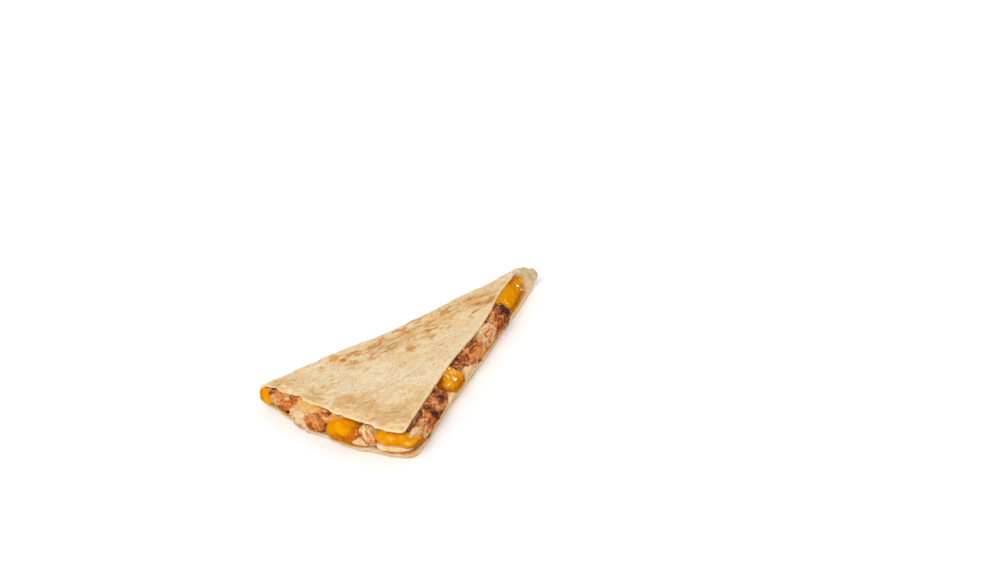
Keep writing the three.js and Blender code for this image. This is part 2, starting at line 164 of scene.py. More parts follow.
def ease(low, high, value):
    """0 below low, 1 above high, and 3t^2 - 2t^3 between."""
    t = clamp01((value - low) / (high - low))
    return t * t * (3 - 2 * t)


def bell(value, centre, width):
    """exp(-((value - centre) / width)^2): 1 at the centre."""
    return np.exp(-(((value - centre) / width) ** 2))


def dent(shape, value):
    """A dent's depth at a value: a bell."""
    return shape.depth * bell(value, shape.at, shape.reach)


def close_to(distance, reach):
    """1 where a distance is nought or less, and falling by a factor e over each reach."""
    return np.exp(-np.maximum(distance, 0) / reach)


def waves_at(waves, x, y):
    """A sum of slow sine waves: each height times the sine of per_x x + per_y y + shift."""
    return sum(height * np.sin(per_x * x + per_y * y + shift) for height, per_x, per_y, shift in waves)


def mix(start, end, share):
    return start + (end - start) * share


# ---- Form of the folded tortilla ------------------------------------------------------------


def sweep_at(x, y):
    """The angle at the inner corner from the fold (0) to the cut (1)."""
    return clamp01(np.arctan2(-y, -x) / WEDGE)


def along_cut(x, y):
    """Distance from the inner corner along the cut."""
    return -(x + y) * DIAGONAL


def rim_radius(layer, sweep):
    """Radius of the rim: the full radius less a sine-shaped recess that is deeper on the upper
    layer (1) than on the lower (0), with a few bell-shaped nicks."""
    upper = TOP_RECESS * np.sin(np.pi * sweep**0.8) + dent(TOP_NICK, sweep)
    lower = BOTTOM_RECESS * np.sin(np.pi * sweep) + dent(BOTTOM_NICK, sweep)
    return RADIUS - mix(lower - dent(BOTTOM_TONGUE, sweep), upper, layer)


def cut_wander(layer, along):
    """How far the knife's cut runs inside the straight line: a sine wave along the upper layer
    with a bell-shaped notch, a bell-shaped inlet in the lower layer, less a bell at its front,
    and a bell-shaped knob where the fold stands out."""
    turn = 2 * np.pi * along / RADIUS
    upper = dent(NOTCH, along) - CUT_SWAY * np.sin(turn)
    lower = LOWER_CUT + dent(INLET, along) - dent(FRONT_OUT, along)
    knob = FOLD_KNOB * 4 * layer * (1 - layer) - FOLD_SETBACK * layer
    return mix(lower, upper, layer) - knob * bell(along, 0, KNOB_REACH)


def inside_rim(layer, x, y):
    """How far a plan point lies inside a layer's rim."""
    return rim_radius(layer, sweep_at(x, y)) - np.hypot(x, y)


def rim_share(layer, x, y):
    """0 inside the wedge, rising to 1 across the band at the rim."""
    return clamp01(1 - inside_rim(layer, x, y) / RIM_BAND)


def top_height(x, y):
    """Height of the upper face: a curve along the fold and a parabola along the cut, blended
    by the sweep, with a crown between them, two slow waves and a droop at the rim."""
    reach = np.minimum(np.hypot(x, y) / RADIUS, 1)
    sweep = sweep_at(x, y)
    drop = clamp01(1 - reach / FOLD_DROP) ** FOLD_DROP_POWER
    rise = clamp01((reach - FOLD_RISE) / (1 - FOLD_RISE)) ** FOLD_RISE_POWER
    fold = mix(HEIGHT_FOLD, HEIGHT_INNER_CORNER, drop) + (HEIGHT_FOLD_END - HEIGHT_FOLD) * rise
    middle = 2 * HEIGHT_CUT - (HEIGHT_INNER_CORNER + HEIGHT_FRONT) / 2
    cut = HEIGHT_INNER_CORNER * (1 - reach) ** 2 + 2 * middle * reach * (1 - reach)
    cut = cut + HEIGHT_FRONT * reach**2
    crown = 4 * CROWN * sweep * (1 - sweep) * reach
    waves = waves_at(TOP_LUMPS, x, y)
    return mix(fold, cut, sweep) + crown + waves - RIM_DROOP * rim_share(1, x, y) ** 2


def bottom_height(x, y):
    """Height of the underside: level, with a rim that lifts by an uneven amount."""
    lift = RIM_LIFT * (0.75 + 0.25 * np.sin(LIFT_WAVES * sweep_at(x, y)))
    return REST_RISE + lift * rim_share(0, x, y) ** 2


def fold_bow(x):
    """How far the fold line bows in at a place along it: a half sine wave."""
    return FOLD_BOW * np.sin(np.pi * clamp01(-x / RADIUS))


def thickness(layer, x, y):
    """The sheet's thickness, which is less towards its rim."""
    return SHEET * (1 - RIM_THINNING * rim_share(layer, x, y) ** 2)


def strip_ends(layer, distance, edge_out):
    """Middle and half width of the strip at a distance from the fold: it ends on the rim's
    circle and on the cut's line, and its half width shrinks as a hyperbola near the front
    corner, which rounds the corner."""
    sweep = np.zeros(np.broadcast(layer, distance, edge_out).shape)
    for _ in range(5):
        radius = rim_radius(layer, sweep) + edge_out
        sweep = clamp01(np.arcsin(clamp01(distance / radius)) / WEDGE)
    radius = rim_radius(layer, sweep) + edge_out
    rim = -np.sqrt(np.maximum(radius**2 - distance**2, 0))
    cut = -distance - (cut_wander(layer, distance / DIAGONAL) - edge_out) / DIAGONAL
    corner = mix(BOTTOM_CORNER, TOP_CORNER, layer)
    square = (cut - rim) / 2
    half = np.sqrt(np.maximum(square**2 - corner**2, 0.01))
    return (cut + rim) / 2, half, square, corner


def front_reach(layer, edge_out):
    """The distance from the fold at which a layer's front corner ends, by halving."""
    near, far = FOLD_REACH, RADIUS
    for _ in range(40):
        middle = (near + far) / 2
        _, _, square, corner = strip_ends(layer, middle, edge_out)
        if square > corner * 1.03:
            near = middle
        else:
            far = middle
    return near


def folded_columns(top, bend, bottom, edge_out, crowding):
    """Columns from the front of the upper layer, back to the fold, round it and out to the
    front of the lower layer. Each is flat at a distance from the fold, or at an angle round
    it. The flat ones crowd towards the front by the power given."""
    upper = 1 - (1 - np.arange(top, 0, -1) / top) ** crowding
    lower = 1 - (1 - np.arange(1, bottom + 1) / bottom) ** crowding
    reach = [front_reach(layer, edge_out) - FOLD_REACH for layer in (1, 0)]
    flat = np.r_[np.ones(top), np.zeros(bend + 1), np.ones(bottom)] > 0
    layer = np.r_[np.ones(top), np.zeros(bend + 1), np.zeros(bottom)]
    angle = np.r_[np.zeros(top), np.pi * (0.5 - np.arange(bend + 1) / bend), np.zeros(bottom)]
    distance = np.r_[upper * reach[0], np.zeros(bend + 1), lower * reach[1]] + FOLD_REACH
    return [part[:, None] for part in (flat, layer, angle, distance)]


def skin_points(columns, share, depth, edge_out):
    """Points that lie a depth inside the outer skin, at a share of each column's strip from
    rim to cut. Round the fold the distance follows a cosine and the layer a sine of the
    column's angle, and the fold line bows in by a sine."""
    flat, layer, angle, distance = columns
    distance = np.where(flat, distance, depth + (FOLD_REACH - depth) * (1 - np.cos(angle)))
    layer = np.where(flat, layer, (1 + np.sin(angle)) / 2)
    middle, half, _, _ = strip_ends(layer, distance, edge_out)
    x = middle + half * (2 * share - 1)
    bow = fold_bow(x) * np.exp(-distance / BOW_FADE)
    y_height = np.where(flat, -distance, -FOLD_REACH)
    upper = top_height(x, y_height) - depth
    lower = bottom_height(x, y_height) + depth
    return np.stack([x, -distance - bow, mix(lower, upper, layer)], -1), layer


def beyond(layer, x, y):
    """How far a plan point lies outside a layer's rim or cut; negative inside."""
    past_cut = (x - y) * DIAGONAL + cut_wander(layer, np.maximum(along_cut(x, y), 0))
    return np.maximum(past_cut, -inside_rim(layer, x, y))


def room(x, y):
    """Lowest and highest height that the filling may have between the layers. Near the fold
    the room closes as the inner skin's ellipse does, and beyond a layer's edge its limit
    moves away steeply."""
    bow = fold_bow(x) * np.exp(-clamp01(-y / BOW_FADE))
    open_share = clamp01((-y - bow - SHEET) / (FOLD_REACH - SHEET))
    open_share = np.sqrt(clamp01(1 - (1 - open_share) ** 2))
    low = bottom_height(x, y) + thickness(0, x, y) - FILLING_PRESS
    high = top_height(x, y) - thickness(1, x, y) + FILLING_PRESS
    middle, half = (low + high) / 2, (high - low) / 2
    low = middle - half * open_share - OPENING_OUT * np.maximum(beyond(0, x, y), 0)
    high = middle + half * open_share + OPENING_OUT * np.maximum(beyond(1, x, y), 0)
    return np.maximum(low, GROUND), high


def tucked(points):
    """The points moved in from the fold, then up or down as far as the room between the
    layers needs."""
    moved = points.copy()
    moved[:, 1] = np.minimum(points[:, 1], -SHEET - fold_bow(points[:, 0]))
    low, high = room(moved[:, 0], moved[:, 1])
    moved[:, 2] = np.clip(points[:, 2], low, np.maximum(high, low))
    return moved


# ---- Closed surfaces ------------------------------------------------------------------------


def ring_faces(rings, around):
    """Quads, as two triangles each, between neighbouring rings of a tube that closes on
    itself, and a fan to a pole vertex at each end. The poles are the last two vertices."""
    ring = np.arange(rings - 1)[:, None] * around
    step = np.arange(around)[None, :]
    after = (step + 1) % around
    a, b = ring + step, ring + after
    c, d = ring + around + after, ring + around + step
    sides = np.concatenate([np.stack(t, -1).reshape(-1, 3) for t in ((a, b, c), (a, c, d))])
    first, last = rings * around, rings * around + 1
    step, after = step[0], after[0]
    start = np.stack([np.full(around, first), after, step], -1)
    end = (rings - 1) * around
    finish = np.stack([np.full(around, last), end + step, end + after], -1)
    return np.concatenate([sides, start, finish])


def outward(points, faces):
    """The faces, turned so that the volume they close is positive."""
    a, b, c = (points[faces[:, corner]] for corner in range(3))
    volume = np.einsum("ij,ij->i", a, np.cross(b, c)).sum()
    return faces if volume > 0 else faces[:, ::-1]


def frame_at(spec):
    """Place, direction along the edge and direction outwards of a piece at the rim (a share of
    its sweep) or on the cut (a distance along it), with its outer face proud of the edge."""
    inward = spec["size"][1] / 2 - spec["proud"]
    along = spec["along"]
    if spec["side"] == "rim":
        angle = along * WEDGE
        out = np.array([-math.cos(angle), -math.sin(angle), 0.0])
        return (rim_radius(0, clamp01(along)) - inward) * out, np.cross(UP, out), out
    way = np.cross(CUT_OUT, UP)
    return along * way - inward * CUT_OUT, way, CUT_OUT


def unit(vectors):
    """Each vector at length 1."""
    return vectors / np.linalg.norm(vectors, axis=-1, keepdims=True)


def directions(rings, around):
    """Unit directions on a grid of latitude and longitude, with the two poles last."""
    latitude = np.pi * ((np.arange(rings) + 1) / (rings + 1) - 0.5)[:, None]
    longitude = 2 * np.pi * np.arange(around)[None, :] / around
    rise = np.sin(latitude) * np.ones_like(longitude)
    way = [np.cos(latitude) * np.cos(longitude), np.cos(latitude) * np.sin(longitude), rise]
    return np.vstack([np.stack(way, -1).reshape(-1, 3), [[0, 0, -1.0]], [[0, 0, 1.0]]])


def placed(points, spec):
    """Points of a piece, pitched, slanted along its edge by a share of their height, turned to
    its heading and moved to its place."""
    place, way, _ = frame_at(spec)
    c, s = math.cos(spec.get("pitch", 0.0)), math.sin(spec.get("pitch", 0.0))
    points = points @ np.array([[c, 0, s], [0, 1, 0], [-s, 0, c]])
    points[:, 0] += spec.get("slant", 0.0) * points[:, 2]
    return points @ np.stack([way, np.cross(UP, way), UP]) + place + spec["z"] * UP


LUMP_GRID = (34, 56)  # rings and points round each


def lump(spec):
    """A rounded box. The radius along each direction is (|x|^p + |y|^p + |z|^p)^(-1/p), times
    a slow sum of three sines, times the half sizes."""
    power, uneven, seed = spec["power"], spec.get("uneven", 0.08), spec["seed"]
    way = directions(*LUMP_GRID)
    x, y, up = way.T
    radius = (abs(way) ** power).sum(1) ** (-1 / power)
    wave = np.sin(3.1 * x + 2.3 * y + seed) + np.sin(2.7 * up - 2.9 * x + 1.7 * seed)
    wave = wave + np.sin(4.3 * y + 2.1 * up + 2.9 * seed)
    points = way * (radius * (1 + uneven * wave / 2))[:, None] * np.array(spec["size"]) / 2
    return placed(points, spec), outward(points, ring_faces(*LUMP_GRID))


CHUNK_GRID = (44, 72)
SMALL_CHUNK_GRID = (24, 40)
FACETS = 8  # that cut a chunk's corners
SHARPNESS = 15  # of its edges


def chunk(spec, rng, grid=CHUNK_GRID):
    """A block with flat facets and slightly rounded edges: six faces of a box and some random
    ones that cut its corners. The radius along each direction d is the sum, over the facets
    with normal n at distance h, of max(0, d.n / h)^p, to the power -1/p."""
    normals = rng.normal(size=(FACETS, 3))
    normals /= np.linalg.norm(normals, axis=1)[:, None]
    far = abs(normals).sum(1) * rng.uniform(0.66, 0.88, FACETS)
    normals = np.vstack([np.eye(3), -np.eye(3), normals])
    far = np.r_[rng.uniform(0.92, 1.04, 6), far]
    way = directions(*grid)
    near = np.maximum(way @ normals.T / far, 0) ** SHARPNESS
    points = way * (near.sum(1) ** (-1 / SHARPNESS))[:, None] * np.array(spec["size"]) / 2
    return placed(points, spec), outward(points, ring_faces(*grid))


# How far past the straight cut the filling stands low down: less where it leaves a lip of the
# lower layer bare. Its limit runs from there to the upper layer's edge over a span of height.
FILLING_PROUD = 0.7
BARE_LIP = Dent(1.6, 91, 14)
UPPER_PROUD = -0.5
RIM_PROUD = -0.2
LIMIT_FROM, LIMIT_SPAN = 1.5, 11


def held_back(points, bulge, rim_bulge=0.9, hold=0.85):
    """Points that stand too far past the cut or the rim, drawn back by a share towards a limit
    that runs from the filling's own line up to the upper layer's edge, plus a parabola over
    the height that is bulge high between them."""
    x, y, z = points.T
    share = clamp01((z - LIMIT_FROM) / LIMIT_SPAN)
    swell = 4 * share * (1 - share)
    along = np.maximum(along_cut(x, y), 0)
    limit = mix(FILLING_PROUD - dent(BARE_LIP, along), UPPER_PROUD - cut_wander(1, along), share)
    past = (x - y) * DIAGONAL - limit - bulge * swell
    moved = points - CUT_OUT * (hold * np.maximum(past, 0))[:, None]
    radius = np.hypot(x, y)
    past = -inside_rim(0, x, y) - RIM_PROUD - rim_bulge * swell
    moved[:, :2] -= moved[:, :2] / (radius[:, None] + 1e-9) * (hold * np.maximum(past, 0))[:, None]
    return moved


STEEP = np.array([0.13, 0.21, 1.0])  # a direction that no strand runs along


def strand(path, radius, around=10):
    """A round profile carried along a path of points: at each point a circle of the given
    radius stands across the path, and both ends close in a pole."""
    way = unit(np.gradient(path, axis=0))
    side = unit(np.cross(way, STEEP))
    rise = np.cross(side, way)
    angle = (2 * np.pi * np.arange(around) / around)[None, :, None]
    circle = side[:, None] * np.cos(angle) + rise[:, None] * np.sin(angle)
    points = (path[:, None] + circle * radius[:, None, None]).reshape(-1, 3)
    tip = 0.6 * radius[[0, -1], None] * way[[0, -1]] * [[-1], [1]]
    points = np.vstack([points, path[[0, -1]] + tip])
    return points, outward(points, ring_faces(len(path), around))


def joined(parts):
    """Several closed surfaces as one list of points and one of faces."""
    starts = np.cumsum([0] + [len(points) for points, _ in parts[:-1]])
    points = np.vstack([points for points, _ in parts])
    faces = np.vstack([faces + start for (_, faces), start in zip(parts, starts)])
    return points, faces


def mesh_from(name, points, faces):
    """A Blender mesh of the points and of faces with three or four corners each."""
    mesh = bpy.data.meshes.new(name)
    corners = faces.shape[1]
    mesh.vertices.add(len(points))
    mesh.vertices.foreach_set("co", np.ascontiguousarray(points, np.float32).ravel())
    mesh.loops.add(faces.size)
    mesh.loops.foreach_set("vertex_index", np.ascontiguousarray(faces, np.int32).ravel())
    mesh.polygons.add(len(faces))
    mesh.polygons.foreach_set("loop_start", np.arange(0, faces.size, corners, dtype=np.int32))
    mesh.update(calc_edges=True)
    return mesh


def grown_together(parts, voxel):
    """Overlapping closed surfaces made one skin of even quads, by a voxel remesh."""
    points, faces = joined(parts)
    before = mesh_from("growing", points, faces)
    growing = bpy.data.objects.new("growing", before)
    bpy.context.scene.collection.objects.link(growing)
    remesh = growing.modifiers.new("Remesh", "REMESH")
    remesh.mode = "VOXEL"
    remesh.voxel_size = voxel
    grown = growing.evaluated_get(bpy.context.evaluated_depsgraph_get())
    mesh = bpy.data.meshes.new_from_object(grown)
    points = np.empty(len(mesh.vertices) * 3, np.float32)
    mesh.vertices.foreach_get("co", points)
    corners = np.empty(len(mesh.loops), np.int32)
    mesh.loops.foreach_get("vertex_index", corners)
    bpy.data.objects.remove(growing)
    for old in (before, mesh):
        bpy.data.meshes.remove(old)
    return points.reshape(-1, 3).astype(float), corners.reshape(-1, 4)


def relaxed(points, faces, rounds, strength=0.5):
    """Each point moved towards the average of its neighbours, a few times."""
    near, far = np.stack([faces, np.roll(faces, -1, axis=1)], -1).reshape(-1, 2).T
    near, far = np.r_[near, far], np.r_[far, near]
    count = np.bincount(near, minlength=len(points)).astype(float)
    for _ in range(rounds):
        total = [np.bincount(near, points[far, axis], len(points)) for axis in range(3)]
        points = mix(points, np.stack(total, -1) / count[:, None], strength)
    return points


def normals_of(points, faces):
    """The direction out of the surface at each point: the sum of its faces' normals."""
    a, b, c, d = (points[faces[:, corner]] for corner in (0, 1, 2, -1))
    across = np.cross(c - a, d - b) if faces.shape[1] == 4 else np.cross(b - a, c - a)
    total = np.zeros_like(points)
    for axis in range(3):
        each = np.repeat(across[:, axis], faces.shape[1])
        total[:, axis] = np.bincount(faces.ravel(), each, len(points))
    return total / (np.linalg.norm(total, axis=1)[:, None] + 1e-12)


def marked(points, spots):
    """A sum of bells, each round a place at the rim or on the cut at a height, with its reach
    along the edge, its reach in height and its strength."""
    x, y, z = points.T
    total = np.zeros(len(points))
    for side, along, height, reach, rise, strength in spots:
        offset = (sweep_at(x, y) - along) * RIM_LENGTH if side == "rim" else along_cut(x, y) - along
        total += strength * np.exp(-((offset / reach) ** 2) - ((z - height) / rise) ** 2)
    return total


CAD_COLUMNS, CAD_CROWDING, CAD_ROWS = (12, 8, 12), 1.7, 17  # the tortilla solid's own grid


def origin_shift():
    """From the wedge's own millimetres to the frame's: the fold is the back of the tortilla's
    box, and the middle of the sheet's width is the middle of the box."""
    low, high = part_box("tortilla")
    columns = folded_columns(*CAD_COLUMNS, 0.0, CAD_CROWDING)
    points, _ = skin_points(columns, np.linspace(0, 1, CAD_ROWS)[None, :], 0.0, 0.0)
    x = points[..., 0]
    middle = (low[0] + high[0]) / 2 / MM - (x.min() + x.max()) / 2
    return np.array([middle, high[1] / MM - points[..., 1].max(), 0.0])


SHIFT = origin_shift()


def add_piece(name, points, faces, finish, node=None, marks=()):
    """An object at the origin with its place in its mesh, in metres, with the surface marks
    kept as attributes. It rides on the one body and stands for its node."""
    mesh = mesh_from(name, (points + SHIFT) * MM, faces)
    mesh.validate()
    for mark, values in dict(marks).items():
        layer = mesh.attributes.new(mark, "FLOAT", "POINT")
        layer.data.foreach_set("value", values.astype(np.float32))
    mesh.polygons.foreach_set("use_smooth", np.ones(len(faces), bool))
    mesh.materials.append(finish)
    piece = bpy.data.objects.new(name, mesh)
    bpy.context.scene.collection.objects.link(piece)
    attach(piece, "root")
    if node:
        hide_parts(node)


# ---- Finishes -------------------------------------------------------------------------------


class Finish:
    """A material being wired: each call adds one node and links its inputs."""

    def __init__(self, name):
        self.material = bpy.data.materials.new(name)
        self.material.use_nodes = True
        self.nodes = self.material.node_tree.nodes
        self.links = self.material.node_tree.links
        self.surface = self.nodes["Principled BSDF"]
        self.place = self.add("ShaderNodeTexCoord").outputs["Object"]

    def put(self, socket, value):
        """A link from another node, or a constant on the socket itself."""
        if isinstance(value, bpy.types.NodeSocket):
            self.links.new(value, socket)
        else:
            socket.default_value = value

    def add(self, kind, inputs=None, **settings):
        node = self.nodes.new(kind)
        for key, value in settings.items():
            setattr(node, key, value)
        for key, value in (inputs or {}).items():
            self.put(node.inputs[key], value)
        return node

    def mark(self, name):
        """The mark of this name that the piece's surface carries."""
        return self.add("ShaderNodeAttribute", attribute_name=name).outputs["Fac"]

    def grain(self, size, detail=3.0, rough=0.55, stretch=(1, 1, 1), warp=0.0):
        """Noise whose lumps are about size metres across, times stretch."""
        place = self.place
        if stretch != (1, 1, 1):
            scale = tuple(1 / each for each in stretch)
            place = self.add("ShaderNodeMapping", {"Vector": place, "Scale": scale}).outputs[0]
        values = {"Vector": place, "Scale": 1 / size, "Detail": detail, "Roughness": rough}
        values["Distortion"] = warp
        return self.add("ShaderNodeTexNoise", values).outputs["Fac"]

    def compute(self, kind, first, second=0.0, third=0.0):
        node = self.add("ShaderNodeMath", operation=kind)
        for socket, value in zip(node.inputs, (first, second, third)):
            self.put(socket, value)
        return node.outputs[0]

    def broken(self, value, grain, amount):
        """The value with a grain added that runs from half the amount below it to half above."""
        return self.compute("ADD", value, self.compute("MULTIPLY_ADD", grain, amount, -amount / 2))

    def span(self, value, low, high, start=0.0, end=1.0):
        """The value's range from low to high, stretched smoothly to start and end."""
        inputs = {"Value": value, "From Min": low, "From Max": high, "To Min": start, "To Max": end}
        return self.add("ShaderNodeMapRange", inputs, interpolation_type="SMOOTHSTEP").outputs[0]

    def blend(self, share, first, second):
        node = self.add("ShaderNodeMix", data_type="RGBA")
        for socket, value in ((0, share), (6, first), (7, second)):
            self.put(node.inputs[socket], value)
        return node.outputs[2]

    def stain(self, colour, second, value, low, high, most=1.0):
        """The colour, turned to the second by up to most where the value is high."""
        return self.blend(self.span(value, low, high, 0.0, most), colour, second)

    def ramp(self, value, stops):
        node = self.add("ShaderNodeValToRGB", {"Fac": value})
        elements = node.color_ramp.elements
        while len(elements) < len(stops):
            elements.new(0.5)
        for element, (position, colour) in zip(elements, stops):
            element.position = position
            element.color = colour
        return node.outputs[0]

    def bump(self, height, depth, strength, under=None):
        """Fine relief of a depth in metres, over that of another bump if one is given."""
        inputs = {"Height": height, "Distance": depth, "Strength": strength}
        if under is not None:
            inputs["Normal"] = under
        return self.add("ShaderNodeBump", inputs).outputs[0]

    def done(self, **values):
        """The material, once these are on its surface shader."""
        for key, value in values.items():
            self.put(self.surface.inputs[key.replace("_", " ")], value)
        return self.material


def colours(settings, *names):
    """The colours of these names, with an alpha of 1."""
    return [(*getattr(settings, name), 1.0) for name in names]


def tortilla_finish(settings):
    """Floury dough, warmer and tan where the drift mark and broad noise say so: partly the dough's own
    tone, partly painted shade along the drooping rim, with a painted highlight that pales the upper
    rim's edge line. Toasted where the toast mark is strong, with a lacy edge to every browned patch,
    soft brown specks, paler crumb on the cut edge, and grey painted shade on the fold's ring round the
    tip."""
    f = Finish("toasted_tortilla")
    flour, warm, tan, smudge, toast, deep = colours(
        settings, "flour", "warm", "tan", "smudge", "toast", "deep"
    )
    char, crumb, stain, tip_shade = colours(settings, "char", "crumb", "stain", "tip_shade")
    broad = f.grain(0.008, 4.0, 0.62, (1.2, 1, 1))
    fleck = f.grain(0.0015, 3.0, 0.65)
    grit = f.grain(0.0007, 2.0, 0.6)
    # Warm, then tan where the drift mark is high: the dough's own tone, and painted shade along the
    # drooping rim.
    drift_rim_shade_and_highlight = f.compute("MULTIPLY_ADD", f.mark("drift_rim_shade_and_highlight"), 0.30, broad)
    colour = f.stain(flour, warm, drift_rim_shade_and_highlight, 0.36, 0.62)
    colour = f.stain(colour, tan, drift_rim_shade_and_highlight, 0.58, 0.86)
    colour = f.stain(colour, tan, fleck, 0.50, 0.68, 0.55)
    colour = f.stain(colour, flour, fleck, 0.47, 0.30, 0.6)
    colour = f.stain(colour, tan, grit, 0.54, 0.68, 0.7)
    lace = f.grain(0.0029, 3.0, 0.66, (1.25, 1, 1), warp=0.9)
    browning = f.broken(f.compute("MULTIPLY", f.mark("toast"), 1.15), lace, 3.0)
    browning = f.broken(browning, grit, 0.8)
    colour = f.stain(colour, smudge, browning, 0.05, 0.5, 0.6)
    colour = f.stain(colour, toast, browning, 0.4, 0.85, 0.75)
    colour = f.stain(colour, deep, browning, 0.95, 1.5, 0.7)
    speck = f.broken(f.mark("char"), grit, 1.6)
    colour = f.stain(colour, toast, speck, 0.15, 0.8, 0.5)
    colour = f.stain(colour, char, speck, 0.45, 1.2, 0.75)
    colour = f.blend(f.compute("MULTIPLY", f.mark("crumb"), 0.75), colour, crumb)
    # The stain mark is sauce and juice, and painted shade inside the fold at the tip.
    soaked = f.compute("MULTIPLY", f.mark("stain"), f.span(f.grain(0.003), 0.3, 0.6))
    colour = f.blend(soaked, colour, stain)
    # Grey painted shade on the fold's ring round the tip.
    tip_shade_share = f.compute("MULTIPLY", f.mark("tip_shade"), f.span(fleck, 0.3, 0.6, 0.55, 1.0))
    colour = f.blend(tip_shade_share, colour, tip_shade)
    pores = f.bump(f.grain(0.0009, 3.0, 0.7), 0.0004, 0.7)
    return f.done(
        Base_Color=colour,
        Roughness=f.span(browning, 0.2, 1.0, 0.75, 0.5),
        Normal=f.bump(f.grain(0.003, 3.0, 0.6, (1.3, 1, 1)), 0.0009, 0.7, pores),
        Specular_IOR_Level=0.3,
        Subsurface_Weight=0.08,
        Subsurface_Radius=(1.0, 0.7, 0.45),
        Subsurface_Scale=0.0016,
    )


def cheese_finish(settings):
    """Melted cheddar: amber, brighter and yellower in drifts, paler where it is a thin film on the
    dough, darker brown where the brown mark is, which is partly browning and partly painted shade, oily
    and translucent."""
    f = Finish("melted_cheddar")
    dark, cheddar, light = colours(settings, "dark", "cheddar", "light")
    film, burnt = colours(settings, "film", "burnt")
    colour = f.ramp(f.grain(0.006), [(0.25, dark), (0.45, cheddar), (0.76, light)])
    fine = f.grain(0.0018, 3.0, 0.6)
    colour = f.stain(colour, film, f.broken(f.mark("film"), fine, 1.0), 0.2, 1.1)
    # Darker brown: browning, and painted shade.
    colour = f.stain(colour, burnt, f.broken(f.mark("brown"), fine, 1.2), 0.3, 0.95)
    return f.done(
        Base_Color=colour,
        Roughness=f.span(f.grain(0.003, 3.0, 0.6), 0.35, 0.7, 0.04, 0.09),
        Normal=f.bump(f.grain(0.0044, 1.0, 0.4, warp=0.8), 0.0014, 0.7),
        Specular_IOR_Level=0.45,
        Subsurface_Weight=0.2,
        Subsurface_Radius=(1.0, 0.4, 0.02),
        Subsurface_Scale=0.0016,
    )


def sauce_finish(settings):
    """Cream sauce: peach cream with browned flecks and an oily sheen."""
    f = Finish("cream_sauce")
    cream, peach, fleck = colours(settings, "cream", "peach", "fleck")
    colour = f.stain(cream, peach, f.grain(0.005), 0.35, 0.7)
    return f.done(
        Base_Color=f.stain(colour, fleck, f.grain(0.0012, 2.0, 0.7), 0.64, 0.74),
        Roughness=f.span(f.grain(0.002, 2.0), 0.3, 0.7, 0.28, 0.5),
        Normal=f.bump(f.grain(0.0018, 3.0, 0.6), 0.0005, 0.5),
        Subsurface_Weight=0.2,
        Subsurface_Radius=(1.0, 0.5, 0.2),
        Subsurface_Scale=0.002,
        Coat_Weight=0.2,
        Coat_Roughness=0.15,
    )


def chicken_finish(settings, name, warmth):
    """Grilled chicken: the sear mark runs through pale meat, marinade orange, red-brown and dark crust
    to char, broken up by patches and grit, with a moist sheen and pale flecks that are partly fat and
    partly painted glints."""
    f = Finish(name)
    places = (0.12 - 0.12 * warmth, 0.32 - 0.12 * warmth, 0.45, 0.65, 0.84, 1.0)
    shades = colours(settings, "pale", "blush", "marinade", "browned", "crust", "charred")
    grit = f.grain(0.0008, 3.0, 0.65)
    sear = f.broken(f.mark("sear"), f.grain(0.0030, 3.0, 0.6, warp=0.5), 0.40)
    sear = f.broken(sear, grit, 0.36)
    # Pale flecks: partly fat, partly painted glints of wet meat, fewer where it is seared.
    fat_and_glint = f.span(f.grain(0.0009, 2.0, 0.6, warp=0.4), 0.57, 0.66, 0.0, 0.75)
    fat_and_glint = f.compute("MULTIPLY", fat_and_glint, f.span(sear, 0.55, 0.85, 1.0, 0.15))
    return f.done(
        Base_Color=f.blend(fat_and_glint, f.ramp(sear, list(zip(places, shades))), *colours(settings, "fat_and_glint")),
        Roughness=f.span(f.grain(0.0022), 0.3, 0.7, 0.3, 0.55),
        Normal=f.bump(grit, 0.0004, 0.8),
        Specular_IOR_Level=0.08,
        Subsurface_Weight=0.08,
        Subsurface_Radius=(1.0, 0.35, 0.15),
        Subsurface_Scale=0.0015,
    )


# ---- Settings -------------------------------------------------------------------------------


def number_property(name, description, default, **options):
    return bpy.props.FloatProperty(
        name=name, description=description, default=default, min=0, **options
    )


def share_property(name, description, default):
    return number_property(name, description, default, max=2, subtype="FACTOR")


def length_property(name, description, default):
    return number_property(name, description, default, unit="LENGTH")


def power_property(name, description, default):
    return number_property(name, description, default, unit="POWER")


def colour_property(name, description, default):
    return bpy.props.FloatVectorProperty(
        name=name, description=description, default=default, subtype="COLOR", size=3, min=0, max=1
    )


class TortillaSettings(bpy.types.PropertyGroup):
    """Sizes and colours of the tortilla."""

    blister: length_property("Blister height", "How far the blisters stand up", 0.0003)
    wrinkle: length_property("Wrinkle height", "How far the fine wrinkles stand up", 0.00012)
    browning: share_property("Browning", "How strongly the griddle has browned it", 1.0)
    flour: colour_property("Flour", "Palest dough", (0.82, 0.665, 0.44))
    # Warm and tan dough also colour the painted shade along the drooping rim.
    warm: colour_property("Warm dough", "Dough that took some heat", (0.79, 0.575, 0.31))
    tan: colour_property("Tan dough", "Dough that took more heat", (0.61, 0.385, 0.16))
    smudge: colour_property("Smudge", "Faintly browned dough", (0.80, 0.49, 0.19))
    toast: colour_property("Toast", "Lightly browned dough", (0.69, 0.32, 0.09))
    deep: colour_property("Deep toast", "Strongly browned dough", (0.42, 0.16, 0.04))
    char: colour_property("Char", "Burnt specks", (0.22, 0.105, 0.04))
    crumb: colour_property("Crumb", "Cut edge of the dough", (0.84, 0.66, 0.35))
    # Also paints the shade inside the fold at the tip, through the stain mark.
    stain: colour_property("Stain", "Sauce soaked into the inside", (0.70, 0.33, 0.10))
    # Grey painted shade on the fold's ring at the tip.
    tip_shade: colour_property("Tip shade", "Grey shade painted on the fold's ring at the tip", (0.42, 0.34, 0.18))


